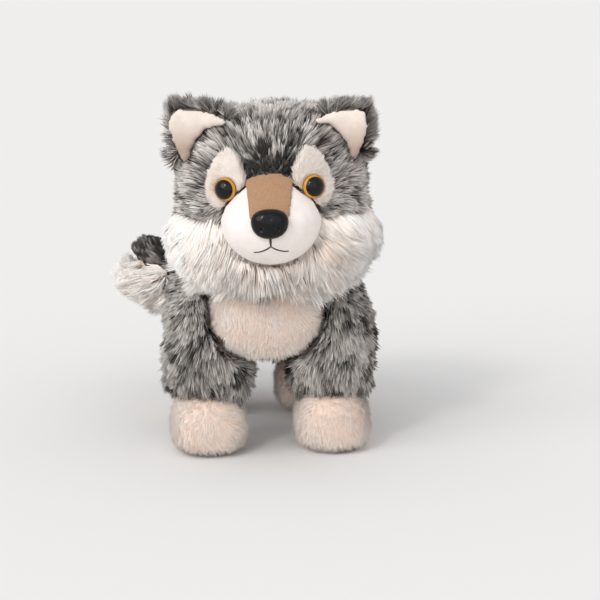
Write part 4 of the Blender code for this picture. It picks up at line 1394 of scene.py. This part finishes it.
UNDER_GREY = ClothFinish("under_grey", tint(112, 106, 100), tint(62, 58, 55), nap_height=0.0004)
UNDER_DARK = ClothFinish("under_dark", tint(52, 49, 46), tint(24, 22, 21), nap_height=0.0004)
HEAD_CLOTH = ClothFinish("under_head", tint(112, 106, 100), tint(62, 58, 55), nap_height=0.0004,
                         low_colour_and_shade=tint(248, 236, 226), level=0.176, before=-0.045)
WHITE_CLOTH = ClothFinish("under_white", tint(112, 106, 100), tint(62, 58, 55),
                          low_colour_and_shade=tint(246, 230, 218), level=1.0, before=-0.030)
CREAM_CLOTH = ClothFinish("under_cream", tint(228, 208, 192), tint(208, 184, 166))
PEACH_CLOTH = ClothFinish("under_peach", tint(240, 214, 196), tint(228, 196, 176))
MUZZLE_CLOTH = ClothFinish("short_white", tint(242, 234, 228), tint(229, 217, 208), patch_scale=90)
BRIDGE_CLOTH = ClothFinish("brown_pile", tint(174, 137, 107), tint(144, 109, 83), patch_scale=900)
# painted shade: the brown low on the ear lining stands for the shade in the hollow at the ear's base
LINING_CLOTH = ClothFinish("ear_lining", tint(230, 217, 207), tint(212, 196, 183), patch_scale=120,
                           low_colour_and_shade=tint(168, 145, 130), level=0.227, sharpness=50)
PUPIL_PLASTIC = PlasticFinish("pupil_plastic", tint(4, 4, 5), 0.05, shine=0.32)
AMBER_PLASTIC = PlasticFinish("amber_plastic", tint(216, 150, 42), 0.16)
RIM_PLASTIC = PlasticFinish("rim_plastic", tint(96, 58, 18), 0.20)
NOSE_PLASTIC = PlasticFinish("nose_plastic", tint(12, 12, 13), 0.20, shine=0.24)
WASHER_PLASTIC = PlasticFinish("washer_plastic", tint(225, 224, 220), 0.45)
THREAD = ThreadFinish("thread", tint(30, 28, 28))


# ---------------------------------------------------------------- studio


@dataclass(frozen=True)
class Lamp:
    """A distant soft lamp: where it stands round the wolf and how wide it looks, in degrees."""

    name: str
    azimuth: float
    elevation: float
    strength: float
    spread: float


LAMPS = (Lamp("key", -50, 34, 1.02, 44), Lamp("front", -6, 17, 0.62, 80), Lamp("spark", -34, 40, 0.40, 8))


@dataclass
class Studio:
    """Floor, light and camera."""

    toy: Toy
    azimuth: float = -6.3
    elevation: float = 12.0
    distance: float = 1.5
    pixel: float = 0.0007
    image: int = 600
    aim: tuple[float, float, float] = (0.0, -0.0475, 0.120)
    aim_pixel: tuple[float, float] = (268.5, 277.0)
    sensor: float = 36.0
    floor_colour: Colour = tint(230, 229, 227)
    floor_roughness: float = 0.9
    floor_size: float = 30.0
    air_colour: Colour = (0.98, 0.98, 1.0)
    air_strength: float = 0.78

    def way(self, azimuth: float, elevation: float) -> Vector:
        """The direction from the wolf to a place round it."""
        turn, rise = math.radians(azimuth), math.radians(elevation)
        return Vector((math.sin(turn) * math.cos(rise), -math.cos(turn) * math.cos(rise), math.sin(rise)))

    def make_camera(self) -> None:
        """Puts the camera where the photograph was taken from."""
        lens = self.distance / self.pixel / self.image * self.sensor
        data = bpy.data.cameras.new("camera")
        data.lens = lens
        data.sensor_width = self.sensor
        camera = bpy.data.objects.new("camera", data)
        bpy.context.scene.collection.objects.link(camera)
        back = self.way(self.azimuth, self.elevation)
        turned = (-back).to_track_quat("-Z", "Y")
        right, up = turned @ Vector((1, 0, 0)), turned @ Vector((0, 1, 0))
        middle = self.image / 2
        shift = right * (middle - self.aim_pixel[0]) - up * (middle - self.aim_pixel[1])
        camera.location = self.toy.origin + Vector(self.aim) + back * self.distance + shift * self.pixel
        camera.rotation_mode = "QUATERNION"
        camera.rotation_quaternion = turned
        bpy.context.scene.camera = camera

    def add_sun(self, lamp: Lamp) -> None:
        """Adds a lamp as a sun.

        Args:
            lamp: Its place and its light.
        """
        data = bpy.data.lights.new(lamp.name, "SUN")
        data.energy = lamp.strength
        data.angle = math.radians(lamp.spread)
        sun = bpy.data.objects.new(lamp.name, data)
        bpy.context.scene.collection.objects.link(sun)
        sun.rotation_mode = "QUATERNION"
        sun.rotation_quaternion = (-self.way(lamp.azimuth, lamp.elevation)).to_track_quat("-Z", "Y")

    def make_floor(self) -> None:
        """Lays the pale floor."""
        shape = bmesh.new()
        bmesh.ops.create_grid(shape, x_segments=4, y_segments=4, size=self.floor_size)
        mesh = bpy.data.meshes.new("floor")
        shape.to_mesh(mesh)
        shape.free()
        paint = Paint("floor")
        mesh.materials.append(paint.settle(Base_Color=self.floor_colour, Roughness=self.floor_roughness,
                                           Specular_IOR_Level=0.0))
        floor = bpy.data.objects.new("floor", mesh)
        bpy.context.scene.collection.objects.link(floor)

    def make(self) -> None:
        """Sets up the studio."""
        self.make_floor()
        self.make_camera()
        for lamp in LAMPS:
            self.add_sun(lamp)
        world = bpy.data.worlds.new("studio")
        bpy.context.scene.world = world
        world.use_nodes = True
        ground = world.node_tree.nodes["Background"]
        ground.inputs["Color"].default_value = (*self.air_colour, 1.0)
        ground.inputs["Strength"].default_value = self.air_strength
        bpy.context.scene.view_settings.view_transform = "Standard"


def main() -> None:
    """Builds the wolf in its studio."""
    logging.basicConfig(level=logging.INFO, format="%(name)s: %(message)s")
    toy = Toy(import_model())
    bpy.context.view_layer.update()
    Body(toy).make()
    Legs(toy).make()
    Head(toy).make()
    Face(toy).make()
    Studio(toy).make()
    bpy.context.view_layer.update()


if __name__ == "__main__":
    main()
